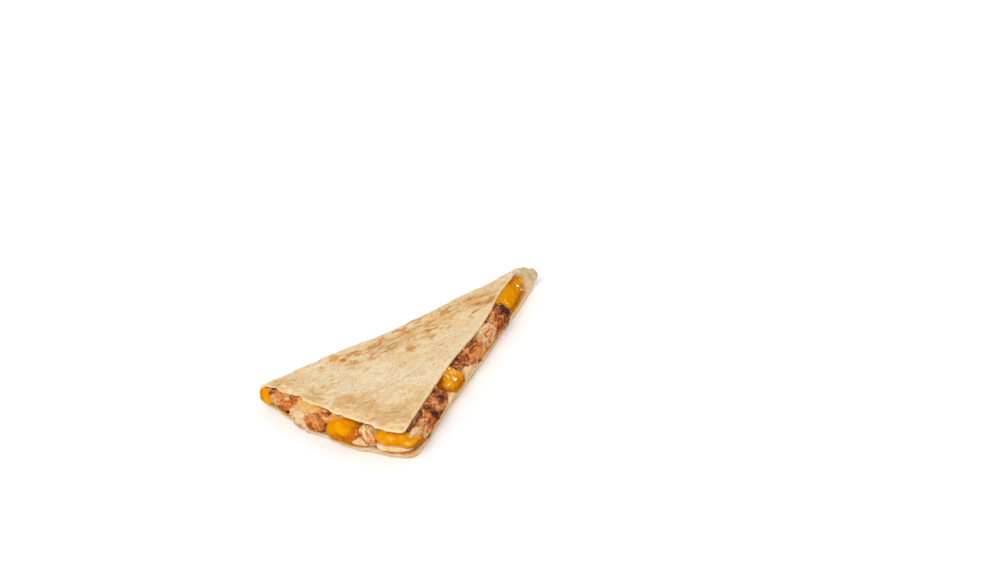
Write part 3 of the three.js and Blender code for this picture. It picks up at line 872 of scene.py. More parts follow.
class CheeseSettings(bpy.types.PropertyGroup):
    """Sizes and colours of the melted cheese."""

    voxel: length_property("Mesh size", "Width of the cheese's mesh cells", 0.00045)
    cheddar: colour_property("Cheddar", "Main colour", (0.73, 0.255, 0.0))
    light: colour_property("Light cheddar", "Its brighter drifts", (0.80, 0.35, 0.003))
    dark: colour_property("Dark cheddar", "Its deeper drifts", (0.56, 0.145, 0.0))
    film: colour_property("Film", "Thin cheese on the dough", (0.82, 0.55, 0.24))
    # Also the colour of the painted shade that the brown mark carries.
    burnt: colour_property("Burnt cheddar", "Where it has browned, and painted shade", (0.50, 0.14, 0.008))


class SauceSettings(bpy.types.PropertyGroup):
    """Sizes and colours of the cream sauce."""

    voxel: length_property("Mesh size", "Width of the sauce's mesh cells", 0.0005)
    cream: colour_property("Cream", "Palest sauce", (0.88, 0.66, 0.38))
    peach: colour_property("Peach", "Sauce tinted by spice", (0.82, 0.45, 0.16))
    fleck: colour_property("Fleck", "Browned flecks", (0.42, 0.15, 0.04))


class ChickenSettings(bpy.types.PropertyGroup):
    """Sizes and colours of the grilled chicken."""

    voxel: length_property("Mesh size", "Width of the chicken's mesh cells", 0.0003)
    fibre: length_property("Fibre height", "How far the fibres stand up", 0.0003)
    pale: colour_property("Pale meat", "Inside of the meat", (0.79, 0.56, 0.31))
    blush: colour_property("Blush", "Meat under thin marinade", (0.69, 0.37, 0.15))
    # Pale flecks that are partly fat and partly painted glints.
    fat_and_glint: colour_property("Fat and glints", "Small pale flecks, partly painted glints", (0.88, 0.60, 0.34))
    marinade: colour_property("Marinade", "Orange marinade", (0.66, 0.185, 0.02))
    browned: colour_property("Browned", "Red-brown grilled meat", (0.31, 0.062, 0.010))
    crust: colour_property("Crust", "Dark grilled crust", (0.135, 0.030, 0.012))
    charred: colour_property("Charred", "Burnt tips", (0.045, 0.015, 0.012))


class StageSettings(bpy.types.PropertyGroup):
    """Floor, lights and camera."""

    floor: colour_property("Floor", "Colour of the floor", (0.97, 0.97, 0.97))
    key: number_property("Key light", "Strength of the broad main light", 1.7)
    fill: power_property("Fill light", "Power of the fill light", 0.5)
    glint: power_property("Glint lights", "Power of each small light", 2.4)
    sky: number_property("Surroundings", "Strength of the pale surroundings", 0.7)
    distance: length_property("Camera distance", "From the wedge to the camera", 1.175)


# ---- Tortilla -------------------------------------------------------------------------------

# Where the griddle browned the upper face: place x, y, reach along and across the fold, and
# strength.
TOAST_PATCHES = np.array([
    (-43, -12.5, 3.4, 3.0, 0.95), (-37, -10.5, 5, 2.4, 0.8), (-32, -14.5, 6, 3.4, 1.05),
    (-25.5, -18.5, 5, 3.4, 0.95), (-33, -24, 2.8, 2.6, 1.2), (-25, -22.5, 3, 2.2, 0.9),
    (-60, -8, 4, 2.6, 0.85), (-54, -10, 4, 3.2, 0.8), (-64, -29, 2.4, 3.0, 1.15),
    (-52, -20, 3.4, 3.2, 0.8), (-47, -25.5, 4.2, 2.2, 0.75), (-42, -29, 4, 2.4, 0.5),
    (-79, -11, 5, 3.0, 0.9), (-72, -13, 4, 3.0, 0.75), (-88, -10, 6, 2.6, 0.65),
    (-79, -19, 1.6, 4.4, 0.85), (-74, -21, 3.0, 3.4, 0.7), (-85, -22, 2.6, 4.4, 0.7),
    (-88, -16, 2.4, 4, 0.7), (-68, -17, 3, 4, 0.65), (-66, -35, 3, 2, 0.35),
    (-72, -38, 3.2, 3.8, 0.4), (-100, -50, 6, 4, 0.55), (-94, -63, 4, 6, 0.4),
    (-84, -74, 6, 4, 0.42), (-108, -31, 2.5, 5, 0.42), (-59, -51, 2.4, 4, 0.45),
    (-60, -42, 5, 4, 0.25), (-50, -37, 5, 3.5, 0.32), (-97, -8, 5, 2.5, 0.35),
    (-115, -9, 4, 4, 0.3), (-58, -15, 38, 11, 0.36), (-87, -56, 5, 5, 0.35),
    (-93, -73, 5, 5, 0.35), (-79, -62, 6, 4, 0.25), (-16, -10, 7, 4, 0.35),
])  # fmt: skip

# Where broad areas of it took more heat, or less, written in the same way. The first eight, along the
# drooping rim, are painted shade of the droop.
DRIFTS_AND_RIM_SHADE = np.array([
    (-111, -24, 3, 6, 0.7), (-107, -33, 4, 7, 0.95), (-101, -47, 6, 5, 1.0), (-97, -53, 6, 6, 0.9),
    (-94, -64, 5, 8, 0.9), (-86, -73, 8, 6, 0.9), (-82, -82, 7, 5, 0.6), (-74, -68, 6, 5, 0.6),
    (-98, -20, 9, 7, -0.8), (-90, -38, 12, 6, -0.7), (-71, -49, 9, 8, -0.7), (-104, -40, 2.6, 4, -0.5),
    (-55, -33, 10, 4, -0.4), (-58, -14, 36, 9, 0.4), (-30, -17, 11, 8, 0.35), (-62, -60, 6, 5, -0.3),
    (-118, -14, 5, 8, 0.3), (-5, -3, 12, 5, -0.5), (-60, -3, 60, 2.5, -0.5), (-78, -56, 6, 6, -0.4),
])  # fmt: skip

# Burnt specks: place x, y and reach.
SPECKS = np.array([
    (-111.5, -12, 1.2), (-104, -28.5, 0.9), (-90, -57.5, 1.3), (-72.5, -39.5, 0.9),
    (-61, -51, 0.7), (-118, -10, 0.7), (-94, -43, 0.5), (-33, -24, 0.9), (-64, -30, 0.8),
    (-66.5, -19, 0.7), (-80, -23, 0.6), (-92, -60, 0.6), (-57, -36, 0.5),
])  # fmt: skip


def spread_of(patches, points, warp, wide=(1.0, 1.0)):
    """A sum of bells over the patches, at places shifted by the warp, each patch's reach
    multiplied by wide."""
    x, y = points[:, 0:1] + warp[0][:, None], points[:, 1:2] + warp[1][:, None]
    px, py, along, across, strength = patches.T
    near = ((x - px) / (along * wide[0])) ** 2 + ((y - py) / (across * wide[1])) ** 2
    return (strength * np.exp(-near)).sum(1)


def top_toast(points):
    """Browning of the upper face: a sum of bell-shaped patches, each longer along the fold,
    whose strength decides how much of them layers of noise leave browned."""
    warp = 1.6 * layered(points, 4, 2, seed=5)
    patches = np.minimum(spread_of(TOAST_PATCHES, points, (warp, 0.6 * warp), (1.15, 1.15)), 1.3)
    islands = layered(points, 1.6, 3, seed=8, stretch=(2.0, 1, 1))
    return patches * ease(-0.45, 0.45, islands) + 0.10 * ease(0.2, 0.9, islands)


def top_drift_and_rim_shade(points):
    """A sum of broad bells, each above or below nought, with a share of layered noise; the bells along
    the drooping rim are painted shade.
    """
    warp = 2.5 * layered(points, 7, 2, seed=6)
    return spread_of(DRIFTS_AND_RIM_SHADE, points, (warp, warp)) + 0.3 * layered(points, 5, 3, seed=7)


def under_toast(points):
    """Browning of the underside and the back of the fold: blotches where broad noise is high,
    broken into islands by finer noise."""
    broad = layered(points, 15, 2, seed=21)
    islands = layered(points, 3.0, 4, seed=23, stretch=(1.3, 1, 1))
    patches = 1.1 * ease(-0.15, 0.7, broad)
    return ease(0.34, 1.0, patches * (1 + 0.8 * islands)) + 0.12 * ease(0.2, 0.9, islands)


def loop_round(rows, edge_steps, inner_rows):
    """One loop round the sheet's section: share of the strip, share of the thickness and how
    round the edge is, out over the outer skin, round the cut, back inside, round the rim."""
    turn = np.pi * np.arange(1, edge_steps + 1) / (edge_steps + 1)
    inside = 0.5 + 0.5 * np.cos(np.pi * np.linspace(0, 1, inner_rows))
    share = np.r_[np.linspace(0, 1, rows), np.ones(edge_steps), inside, np.zeros(edge_steps)]
    depth = np.r_[np.zeros(rows), (1 - np.cos(turn)) / 2, np.ones(inner_rows), (1 + np.cos(turn)) / 2]
    bulge = np.r_[np.zeros(rows), np.sin(turn) ** 0.7, np.zeros(inner_rows), np.sin(turn) ** 0.9]
    return share[None, :], depth[None, :], bulge[None, :]


SHEET_COLUMNS, SHEET_CROWDING = (186, 40, 96), 1.2  # upper layer, bend and lower layer
SHEET_LOOP = (226, 7, 26)  # rows outside, round each edge and inside
RIM_ROUND, CUT_ROUND = 0.8, 0.7  # how far the roundness of each edge reaches

# Each noise of the tortilla's edges, relief and marks: the size of its lumps, its octaves, its
# seed and its stretch.
DOUGH_NOISE = {
    "rim": (8, 3, 31), "rim fine": (2.4, 2, 32), "rim lift": (9, 2, 36), "cut": (3.4, 3, 33),
    "bubbles": (6.5, 2, 41, (1.2, 1, 1)), "small bubbles": (2.6, 2, 43, (1.3, 1, 1)),
    "crease": (2.0, 3, 47, (1.7, 1, 1)), "broad": (14, 2, 49), "ruffle": (6, 2, 51, (1, 2.2, 1)),
    "cracks": (1.7, 2, 53, (1, 5, 5)), "streaks": (1.7, 3, 58, (1, 5, 1)), "knobs": (3.2, 2, 59),
    "lower drift": (12, 3, 57), "burnt": (2.3, 2, 61), "tip_shade": (2.6, 3, 63),
}  # fmt: skip
# Reaches over which the unevenness of each part fades, in from the rim, the cut and the fold,
# and along the cut from the tip.
RIM_NEAR, CUT_NEAR, FOLD_NEAR, TIP_NEAR, TIP_ALONG = 2.5, 1.6, 4.0, 3.0, 9
RIM_RAGGED, RIM_RAGGED_FINE = 0.7, 0.2  # how far the rim wanders out and in
RIM_LIFTS = 1.1  # how far the upper rim lifts here and there
CUT_RAGGED, TIP_RAGGED = 0.22, 0.5  # how far the cut wanders, and how much more at the tip
TIP_INLET = Dent(1.3, 0.8, 0.08)  # at a share of the height
BROAD_HEIGHT, RUFFLE_HEIGHT, STREAK_HEIGHT = 0.26, 0.22, 0.2
CRACK_HEIGHT, CUT_CRACK_HEIGHT = 0.16, 0.2
KNOB_LEVEL, KNOB_HEIGHT, KNOB_DENT = 0.4, 1.4, -0.25  # the tip's lumps, and their lowest noise

# Where juice has run on the inside of the lower layer: side, place along it, height, reach
# along and up, and strength.
JUICE = [
    ("rim", 0.93, 3, 11, 3, 0.9), ("cut", 118, 3, 6, 3, 0.9), ("cut", 104, 3, 9, 3, 0.5),
    ("rim", 0.3, 3, 8, 3, 0.3), ("cut", 40, 3, 9, 3, 0.5),
]  # fmt: skip


def dough_noise(name, points):
    """One of the tortilla's noises at the points."""
    return layered(points, *DOUGH_NOISE[name])


def bare_sheet():
    """The folded sheet before it is made uneven: a grid of columns, from the front of the
    upper layer round the fold to the front of the lower, by a loop round the sheet's section;
    the grid's size; and each point's layer, depth in the sheet and roundness of the edge."""
    share, depth, bulge = loop_round(*SHEET_LOOP)
    roundness = mix(RIM_ROUND, CUT_ROUND, share)
    columns = folded_columns(*SHEET_COLUMNS, 0.0, SHEET_CROWDING)
    grid, layer = skin_points(columns, share, depth * SHEET, roundness * (bulge - 1))
    count = grid.shape[:2]
    layer, depth, bulge = (np.broadcast_to(each, count).ravel() for each in (layer, depth, bulge))
    points = grid.reshape(-1, 3)
    x, y = points[:, 0], points[:, 1]
    thinner = SHEET - mix(thickness(0, x, y), thickness(1, x, y), layer)
    points[:, 2] += (2 * layer - 1) * depth * thinner
    return points, count, layer, depth, bulge


def uneven_edges(points, layer):
    """The sheet's points with its rim moved out and in and lifted by layered noise, and its
    cut moved by finer noise, more so at the tip; and how near each is to the rim and the cut."""
    moved = points.copy()
    at_rim = close_to(inside_rim(layer, moved[:, 0], moved[:, 1]), RIM_NEAR)
    out = moved[:, :2] / (np.linalg.norm(moved[:, :2], axis=1)[:, None] + 1e-9)
    ragged = RIM_RAGGED * dough_noise("rim", moved) + RIM_RAGGED_FINE * dough_noise("rim fine", moved)
    moved[:, :2] += out * (ragged * at_rim)[:, None]
    lift = RIM_LIFTS * ease(-0.2, 0.9, dough_noise("rim lift", moved)) * at_rim
    moved[:, 2] += lift * ease(0.6, 0.9, layer)
    at_cut = close_to(-beyond(0.5, moved[:, 0], moved[:, 1]), CUT_NEAR) * (1 - at_rim)
    near_tip = close_to(-moved[:, 1], TIP_NEAR)
    ragged = (CUT_RAGGED + TIP_RAGGED * near_tip) * dough_noise("cut", moved)
    ragged = (ragged - near_tip * dent(TIP_INLET, layer)) * at_cut
    return moved + CUT_OUT * ragged[:, None], at_rim, at_cut


def tortilla_surface(settings):
    """The bare sheet with uneven edges, closed by a pole at each end. Its relief along the
    normals is a sum of layers of noise: blisters where it is high, fine wrinkles, ruffles and
    streaks along the rim, cracks along the fold and knobs at the tip."""
    flat, count, layer, depth, bulge = bare_sheet()
    flat, at_rim, at_cut = uneven_edges(flat, layer)
    ends = flat.reshape(*count, 3)[[0, -1]].mean(1)
    points = np.vstack([flat, ends])
    faces = outward(points, ring_faces(*count))
    normals = normals_of(points, faces)[:-2]

    x, y = flat[:, 0], flat[:, 1]
    outer = 1 - depth
    upper = ease(0.35, 0.65, layer)
    near_fold = close_to(-y, FOLD_NEAR)
    at_tip = close_to(along_cut(x, y), TIP_ALONG) * near_fold
    dome = ease(0.10, 0.65, dough_noise("bubbles", flat))
    dome = dome + 0.45 * ease(0.15, 0.8, dough_noise("small bubbles", flat))
    round_rim = np.stack([np.hypot(x, y), np.arctan2(-y, -x) * RADIUS, 0 * x], -1)
    streak = dough_noise("streaks", round_rim) * bell(inside_rim(layer, x, y), 5, 7)
    ruffle = dough_noise("ruffle", flat) * np.exp(-((at_rim - 0.35) ** 2) / 0.08)
    height = settings.blister / MM * (dome - 0.35) * mix(0.45, 1.0, upper)
    height = height + settings.wrinkle / MM * dough_noise("crease", flat)
    height = height + (BROAD_HEIGHT * dough_noise("broad", flat) + RUFFLE_HEIGHT * ruffle) * upper
    height = height + STREAK_HEIGHT * streak * upper
    cracks = dough_noise("cracks", flat) * near_fold
    height = height + (CRACK_HEIGHT + CUT_CRACK_HEIGHT * at_cut) * cracks
    knobs = KNOB_LEVEL + KNOB_HEIGHT * np.maximum(dough_noise("knobs", flat), KNOB_DENT)
    height = height + knobs * at_tip * outer
    keep = mix(0.25, 1.0, outer) * (1 - 0.6 * at_cut * (1 - near_fold))
    points[:-2] += normals * (height * keep)[:, None]
    points[:, 2] = np.maximum(points[:, 2], 0.0)

    rim_line = np.exp(-((at_rim - 1) ** 2) / 0.03)
    drift_rim_shade_and_highlight = np.where(upper > 0.5, top_drift_and_rim_shade(flat), 0.6 * dough_noise("lower drift", flat))
    # Painted shade on the fold's ring round the tip, less on faces that turn towards the back of the
    # fold.
    tip_shade_share = at_tip * (1.0 + 0.8 * dough_noise("tip_shade", flat))
    toast = toast_mark(flat, upper, outer, dome, rim_line, settings.browning)
    marks = {
        "toast": toast,
        # Painted shade along the drooping rim from the drifts, and a painted highlight that pales the
        # upper layer's rim line.
        "drift_rim_shade_and_highlight": (drift_rim_shade_and_highlight + 0.8 * streak) * outer - 0.6 * rim_line * upper,
        "char": char_mark(flat, upper, outer, toast),
        "crumb": clamp01(bulge * (1.6 * at_cut + 1.4 * at_rim * upper)),
        "stain": stain_mark(flat, upper, depth, at_rim, at_cut),
        "tip_shade": clamp01(tip_shade_share) * ease(-0.6, 0.3, -normals[:, 1]),
    }
    poles = {mark: values.reshape(count)[[0, -1]].mean(1) for mark, values in marks.items()}
    return points, faces, {mark: np.r_[marks[mark], poles[mark]] for mark in marks}


def toast_mark(points, upper, outer, dome, rim_line, browning):
    """Browning of the outer skin: the patches of either face, fainter along the back of the
    fold, with a little on every blister and along the rim."""
    toast = np.where(upper > 0.5, top_toast(points), under_toast(points))
    back = np.exp(-(((points[:, 1] + 1.0) / 3.0) ** 2))
    toast = toast * (1 - 0.5 * back) + 0.14 * ease(0.2, 0.8, dome) * outer
    return clamp01(toast * browning * outer + 0.05 * rim_line)


def char_mark(points, upper, outer, toast):
    """Burnt specks: a sum of small bells, and the peaks of noise where it is toasted."""
    sx, sy, size = SPECKS.T
    near = ((points[:, 0:1] - sx) ** 2 + (points[:, 1:2] - sy) ** 2) / size**2
    peaks = ease(0.78, 1.0, dough_noise("burnt", points)) * ease(0.3, 0.8, toast)
    return clamp01(np.exp(-near).sum(1) * upper + 0.9 * peaks) * outer


def stain_mark(points, upper, inner, at_rim, at_cut):
    """Sauce and juice on the inner skin, along the open edges of the lower layer and where juice has
    run, and painted shade inside the fold at the tip."""
    x, y, z = points.T
    stain = inner * (1 - at_cut) * ease(-14, -1, beyond(0, x, y)) * (1 - upper)
    stain = stain * ease(30, 60, np.hypot(x, y)) * (1 - 0.9 * at_rim)
    # Painted shade inside the fold at the tip, under the upper layer.
    pocket_shade = inner * bell(along_cut(x, y), 4, 9) * ease(3, 9, z)
    return clamp01(stain + 0.5 * pocket_shade + inner * marked(points, JUICE) * (1 - 0.7 * at_rim))


class QUESADILLA_OT_tortilla(bpy.types.Operator):
    """Make the folded tortilla"""

    bl_idname = "quesadilla.tortilla"
    bl_label = "Tortilla"

    def execute(self, context):
        settings = context.scene.quesadilla_tortilla
        points, faces, marks = tortilla_surface(settings)
        finish = tortilla_finish(settings)
        add_piece("folded_tortilla", points, faces, finish, "tortilla", marks)
        return {"FINISHED"}


# ---- Cheese and sauce -----------------------------------------------------------------------

# Each lobe: the side that it is at, its place along it, the height of its middle, its length,
# depth and height, how far it stands proud, the power that makes its box square or round, how
# uneven it is, how much its ends slant and how far it is tipped.
CHEESE_LOBES = [
    dict(side="rim", along=0.035, z=5.3, size=(10, 9, 9.4), proud=1.3, power=3, uneven=0.03),
    dict(side="rim", along=0.19, z=4.0, size=(20, 11, 4.6), proud=1.0, power=2.3),
    dict(side="rim", along=0.345, z=9.9, size=(22, 14, 3.2), proud=-2.6, power=2.3),
    dict(side="rim", along=0.635, z=5.8, size=(20.5, 14, 9.8), proud=2.0, power=2.9, uneven=0.05,
         slant=0.25),
    dict(side="rim", along=0.915, z=8.9, size=(18, 14, 6.2), proud=1.0, power=2.9, uneven=0.05,
         pitch=-0.13),
    dict(side="cut", along=119, z=6.2, size=(14, 9, 4.8), proud=2.4, power=2.4, uneven=0.05,
         pitch=0.32),
    dict(side="cut", along=79, z=5.8, size=(13, 13, 10.4), proud=3.6, power=2.4, slant=0.3),
    dict(side="cut", along=80, z=10.6, size=(8.5, 12, 5.8), proud=1.6, power=2.4),
    dict(side="cut", along=23, z=6.3, size=(12.5, 14, 12.8), proud=3.6, power=2.5, uneven=0.1,
         slant=0.6),
    dict(side="cut", along=16, z=6.8, size=(12, 13, 11.8), proud=2.6, power=2.4, uneven=0.1,
         slant=0.6),
    dict(side="cut", along=8, z=6.0, size=(13, 11, 8.8), proud=0.6, power=2.4, slant=0.3),
]  # fmt: skip

SAUCE_LOBES = [
    dict(side="rim", along=0.73, z=4.6, size=(12, 12, 4.4), proud=0.9, power=2.4),
    dict(side="rim", along=0.905, z=4.6, size=(19, 13, 4.8), proud=0.8, power=2.6),
    dict(side="cut", along=88, z=3.8, size=(15, 9, 3.8), proud=1.8, power=2.6),
]

# Where the cheese is only a pale film, and where it is darker brown: side, place along it, height,
# reach along and up, and strength. The brown marks are partly browning and partly painted shade: under
# the upper layer's edge, on the big lobe at the rim and at the front corner.
FILM = [
    ("cut", 1, 6, 5, 8, 0.9), ("rim", 0.37, 10, 13, 4, 0.8), ("rim", 0.17, 2.4, 13, 2.6, 0.9),
    ("rim", 0.0, 5, 4, 6, 0.65), ("cut", 13, 3, 5, 3, 0.6), ("cut", 88, 13, 2.5, 2, 0.4),
]  # fmt: skip
BROWNING_AND_SHADE = [
    ("rim", 0.29, 10, 5, 3, 0.4), ("rim", 0.64, 7, 8, 6, 0.22), ("rim", 0.73, 7, 4.4, 6, 1.1),
    ("rim", 1.0, 5.5, 4, 2, 0.9), ("cut", 121, 5.5, 5, 2, 0.9), ("cut", 85, 13, 2.5, 2.5, 0.5),
]  # fmt: skip


# Columns of the filling's core as SHEET_COLUMNS, and its points from the rim to the cut.
CORE_COLUMNS, CORE_CROWDING, CORE_ROWS = (60, 14, 60), 1.15, 90


def core_surface(depth, inset, top_limit=None):
    """The space inside the fold as one closed body: columns across the upper inner skin, round
    the fold and across the lower, each column a ring whose ends are the rim and the cut."""
    flat, layer, angle, distance = folded_columns(*CORE_COLUMNS, -inset, CORE_CROWDING)
    lower = flat & (layer == 0)
    scale = (front_reach(1, -inset) - FOLD_REACH) / (distance[-1, 0] - FOLD_REACH)
    distance = np.where(lower, FOLD_REACH + (distance - FOLD_REACH) * scale, distance)
    columns = [flat, np.where(flat, 1.0, layer), angle, distance]
    share = np.linspace(0, 1, CORE_ROWS)[None, :]
    points, _ = skin_points(columns, share, depth, -inset)
    x, y = points[..., 0], points[..., 1]
    points[..., 2] = np.where(lower, bottom_height(x, y) + depth, points[..., 2])
    if top_limit is not None:
        limit = top_limit + waves_at(SAUCE_WAVES, x, y)
        points[..., 2] = np.minimum(points[..., 2], limit)
    loops = np.swapaxes(points, 0, 1)
    ends = np.stack([loops[0].mean(0), loops[-1].mean(0)])
    closed = np.vstack([loops.reshape(-1, 3), ends])
    return closed, outward(closed, ring_faces(CORE_ROWS, points.shape[0]))


def filling(core, lobes, voxel, rounds, waver, edge):
    """Core and lobes grown together and smoothed, then moved in and out by layers of noise
    (height, size, octaves and seed), which fade in over a stretch inside the edges."""
    parts = [core] + [lump({**lobe, "seed": seed}) for seed, lobe in enumerate(lobes)]
    points, faces = grown_together(parts, voxel / MM)
    points = relaxed(points, faces, rounds)
    normals = normals_of(points, faces)
    wave = sum(height * layered(points, *noise_of) for height, *noise_of in waver)
    near_edge = ease(*edge, beyond(0, points[:, 0], points[:, 1]))
    return points + normals * (wave * near_edge)[:, None], faces


def cheese_surface(settings):
    """Core and lobes grown together, given a slow sag and small dimples, and kept between the
    layers."""
    core = core_surface(SHEET + 0.15, FILLING_INSET)
    waver = [(0.55, 5, 2, 71), (0.22, 2.0, 2, 73)]
    points, faces = filling(core, CHEESE_LOBES, settings.voxel, 9, waver, (-9, -4))
    points = relaxed(tucked(held_back(points, 3.0, 2.4)), faces, 1)
    return points, faces, {"film": marked(points, FILM), "brown": marked(points, BROWNING_AND_SHADE)}


def sauce_surface(settings):
    """A wavy slab on the lower layer with its lobes at the rim, grown together."""
    core = core_surface(SHEET + 0.05, FILLING_INSET - 1.6, SAUCE_TOP)
    points, faces = filling(core, SAUCE_LOBES, settings.voxel, 2, [(0.28, 4, 3, 81)], (-12, -5))
    return relaxed(tucked(points), faces, 1), faces


class QUESADILLA_OT_cheese(bpy.types.Operator):
    """Make the melted cheese"""

    bl_idname = "quesadilla.cheese"
    bl_label = "Melted Cheese"

    def execute(self, context):
        settings = context.scene.quesadilla_cheese
        points, faces, marks = cheese_surface(settings)
        finish = cheese_finish(settings)
        add_piece("melted_cheddar", points, faces, finish, "melted_cheese", marks)
        return {"FINISHED"}


class QUESADILLA_OT_sauce(bpy.types.Operator):
    """Make the layer of cream sauce"""

    bl_idname = "quesadilla.sauce"
    bl_label = "Cream Sauce"

    def execute(self, context):
        settings = context.scene.quesadilla_sauce
        points, faces = sauce_surface(settings)
        add_piece("spread_sauce", points, faces, sauce_finish(settings), "cream_sauce")
        return {"FINISHED"}


# ---- Chicken --------------------------------------------------------------------------------

# Each piece: the side that it is at, its place along it, the height of its middle, its length,
# depth and height, and how far it stands proud; how much its ends slant and its grain leans, and
# how far it may bulge past the cut; the slot of its finish; how strongly it is seared, how much
# that varies with noise and with the stripes of its fibres, and at most; its strands, its smaller
# chunks and its grit; and spots at a share of its half length and height, with their reach in
# millimetres and the sear that they add.
CHICKEN = {
    "chicken_rim_1": dict(
        side="rim", along=0.17, z=7.3, size=(19, 15, 6.4), proud=0.5, slot="chicken_browned",
        sear=0.38, vary=0.18, stripe=0.24, strands=24, lean=0.25,
        spots=[(-0.7, 0.7, 3, 1.6, 0.25), (0.5, -0.1, 3, 1.5, 0.15), (0.85, -0.4, 2.5, 1.5, 0.2),
               (-0.9, -0.4, 2.5, 2, -0.25)],
    ),
    "chicken_rim_2": dict(
        side="rim", along=0.325, z=5.0, size=(14, 16, 8.6), proud=0.6, slot="chicken_pale",
        sear=0.07, vary=0.16, stripe=0.10, strands=5,
        spots=[(-0.32, 0.35, 0.5, 0.9, 0.65), (-0.42, 0.05, 0.5, 0.8, 0.5), (0.08, 0.3, 0.5, 0.6, 0.6),
               (0.7, -0.6, 3, 2, 0.25)],
    ),
    "chicken_rim_3": dict(
        side="rim", along=0.44, z=5.9, size=(11, 13, 5.6), proud=1.1, slot="chicken_browned",
        sear=0.38, vary=0.18, stripe=0.2, strands=14, lean=0.3, bits=5,
        spots=[(-0.5, -0.5, 2.5, 1.5, 0.22), (0.5, 0.3, 2.5, 1.5, -0.2)],
    ),
    "chicken_rim_4": dict(
        side="rim", along=0.545, z=9.6, size=(18, 13, 3.6), proud=-2.0, slot="chicken_browned",
        sear=0.32, vary=0.2, stripe=0.3, strands=16, spots=[(0.6, 0.2, 3, 1.2, 0.25)],
    ),
    "chicken_rim_5": dict(
        side="rim", along=0.785, z=8, size=(7, 15, 8.2), proud=-0.2, slant=-0.3,
        slot="chicken_pale", sear=0.17, vary=0.12, stripe=0.16, strands=9, lean=-1.3, bits=5,
        spots=[(-0.9, 0.1, 2.0, 4, 0.42), (0.8, -0.7, 1.5, 1.5, 0.3)],
    ),
    "chicken_cut_1": dict(
        side="cut", along=111, z=6.0, size=(16, 16, 9.8), proud=2.8, slant=0.8, slot="chicken_pale",
        sear=0.27, vary=0.18, stripe=0.16, strands=5,
        spots=[(-0.8, -0.2, 3, 2, 0.32), (0.5, -0.8, 5, 1.6, 0.36), (-0.5, 0.2, 2.5, 2, 0.15)],
    ),
    "chicken_cut_2": dict(
        side="cut", along=98.5, z=7.2, size=(18, 16, 11.4), proud=3.4, slant=0.35, lean=0.5,
        slot="chicken_charred", sear=0.58, vary=0.14, stripe=0.14, strands=6, bulge=2.2,
        spots=[(0.5, 0.0, 1.5, 3.4, 0.42), (-0.6, 0.55, 1.4, 2.6, 0.36), (0.1, -0.35, 1.2, 1.6, 0.2),
               (0.0, 0.3, 1.8, 2.4, -0.12), (0.85, 0.65, 1.8, 2.2, -0.34), (-0.1, -0.95, 6, 1.1, -0.3)],
    ),
    # A thin charred strip under the upper layer's cut edge; its darkness is partly char and partly
    # painted shade of the slit under the lifted sheet.
    "chicken_cut_3": dict(
        side="cut", along=112, z=11.6, size=(19, 12, 2.2), proud=0.4, slot="chicken_charred",
        sear=0.68, vary=0.14, stripe=0.1, strands=6, spots=[(-0.3, 0, 4, 1, 0.15)],
    ),
    "chicken_cut_4": dict(
        side="cut", along=67, z=4.6, size=(12, 13, 6), proud=3.0, slot="chicken_pale",
        sear=0.05, vary=0.08, stripe=0.04, strands=0, spots=[(-0.1, 0.2, 1.2, 0.9, 0.3)],
    ),
    "chicken_cut_5": dict(
        side="cut", along=60, z=7.2, size=(20, 16, 11), proud=3.4, slant=1.0, lean=0.4,
        slot="chicken_browned", sear=0.54, vary=0.12, stripe=0.24, strands=24, most=0.68,
        spots=[(0.5, 0.2, 4, 2, 0.10), (-0.1, -0.8, 2.0, 1.0, -0.2), (-0.5, 0.9, 3, 1, 0.1)],
    ),
    "chicken_cut_6": dict(
        side="cut", along=46, z=6.8, size=(14.5, 17, 12), proud=3.4, slant=0.8,
        slot="chicken_pale", sear=0.20, vary=0.18, stripe=0.18, strands=4, most=0.62,
        spots=[(-0.5, -0.45, 4.6, 3.2, 0.45), (0.2, -0.8, 3.4, 2.0, 0.35), (0.3, 0.25, 0.7, 0.7, 0.35),
               (0.75, 0.5, 1.4, 2.5, 0.15)],
    ),
    "chicken_cut_7": dict(
        side="cut", along=33, z=6.6, size=(14.5, 16, 12), proud=3.8, slant=0.5,
        slot="chicken_charred", sear=0.56, vary=0.14, stripe=0.04, strands=0, bulge=2.4, grit=2.6,
        spots=[(-0.5, 0.35, 2.2, 3.0, 0.46), (0.75, 0.6, 1.8, 2.5, -0.34), (0.55, -0.5, 3, 2.2, -0.08),
               (0.1, -0.5, 2.6, 1.6, 0.05)],
    ),
}  # fmt: skip


def path_by(spec, along, out, up):
    """Points at distances along a piece's edge, out from its middle, and up."""
    place, way, outwards = frame_at(spec)
    return place + along[:, None] * way + out[:, None] * outwards + up[:, None] * UP


def taper(share, least):
    """1 in the middle of a strand, falling as half an ellipse to the least at its ends."""
    return least + (1 - least) * np.sqrt(np.maximum(1 - share**2, 0))


def falling(value, half, more):
    """The fourth root of 1 - t^2, where t is the value over a little more than the half size
    of a chunk: 1 in its middle, less towards its side."""
    return np.sqrt(np.maximum(1 - (value / (half * more)) ** 2, 0.05)) ** 0.5


# The ranges that a strand's or a shred's random numbers are drawn from: reach (a share of the
# piece's half length, or millimetres), slope, height of its middle (likewise), how far out it
# stands, and radius; and of a shred's bow. The phases of their waves take in almost a turn.
STRAND = {"reach": (0.35, 0.8), "slope": (-0.22, 0.22), "level": (-0.85, 0.95),
          "out": (-0.25, 0.45), "radius": (0.4, 0.75)}  # fmt: skip
SHRED = {"reach": (1.2, 3.4), "slope": (-0.7, 0.7), "level": (3.2, 9.6),
         "out": (0.2, 1.3), "radius": (0.22, 0.42), "bow": (0.2, 0.8)}  # fmt: skip
PHASE = (0, 6)


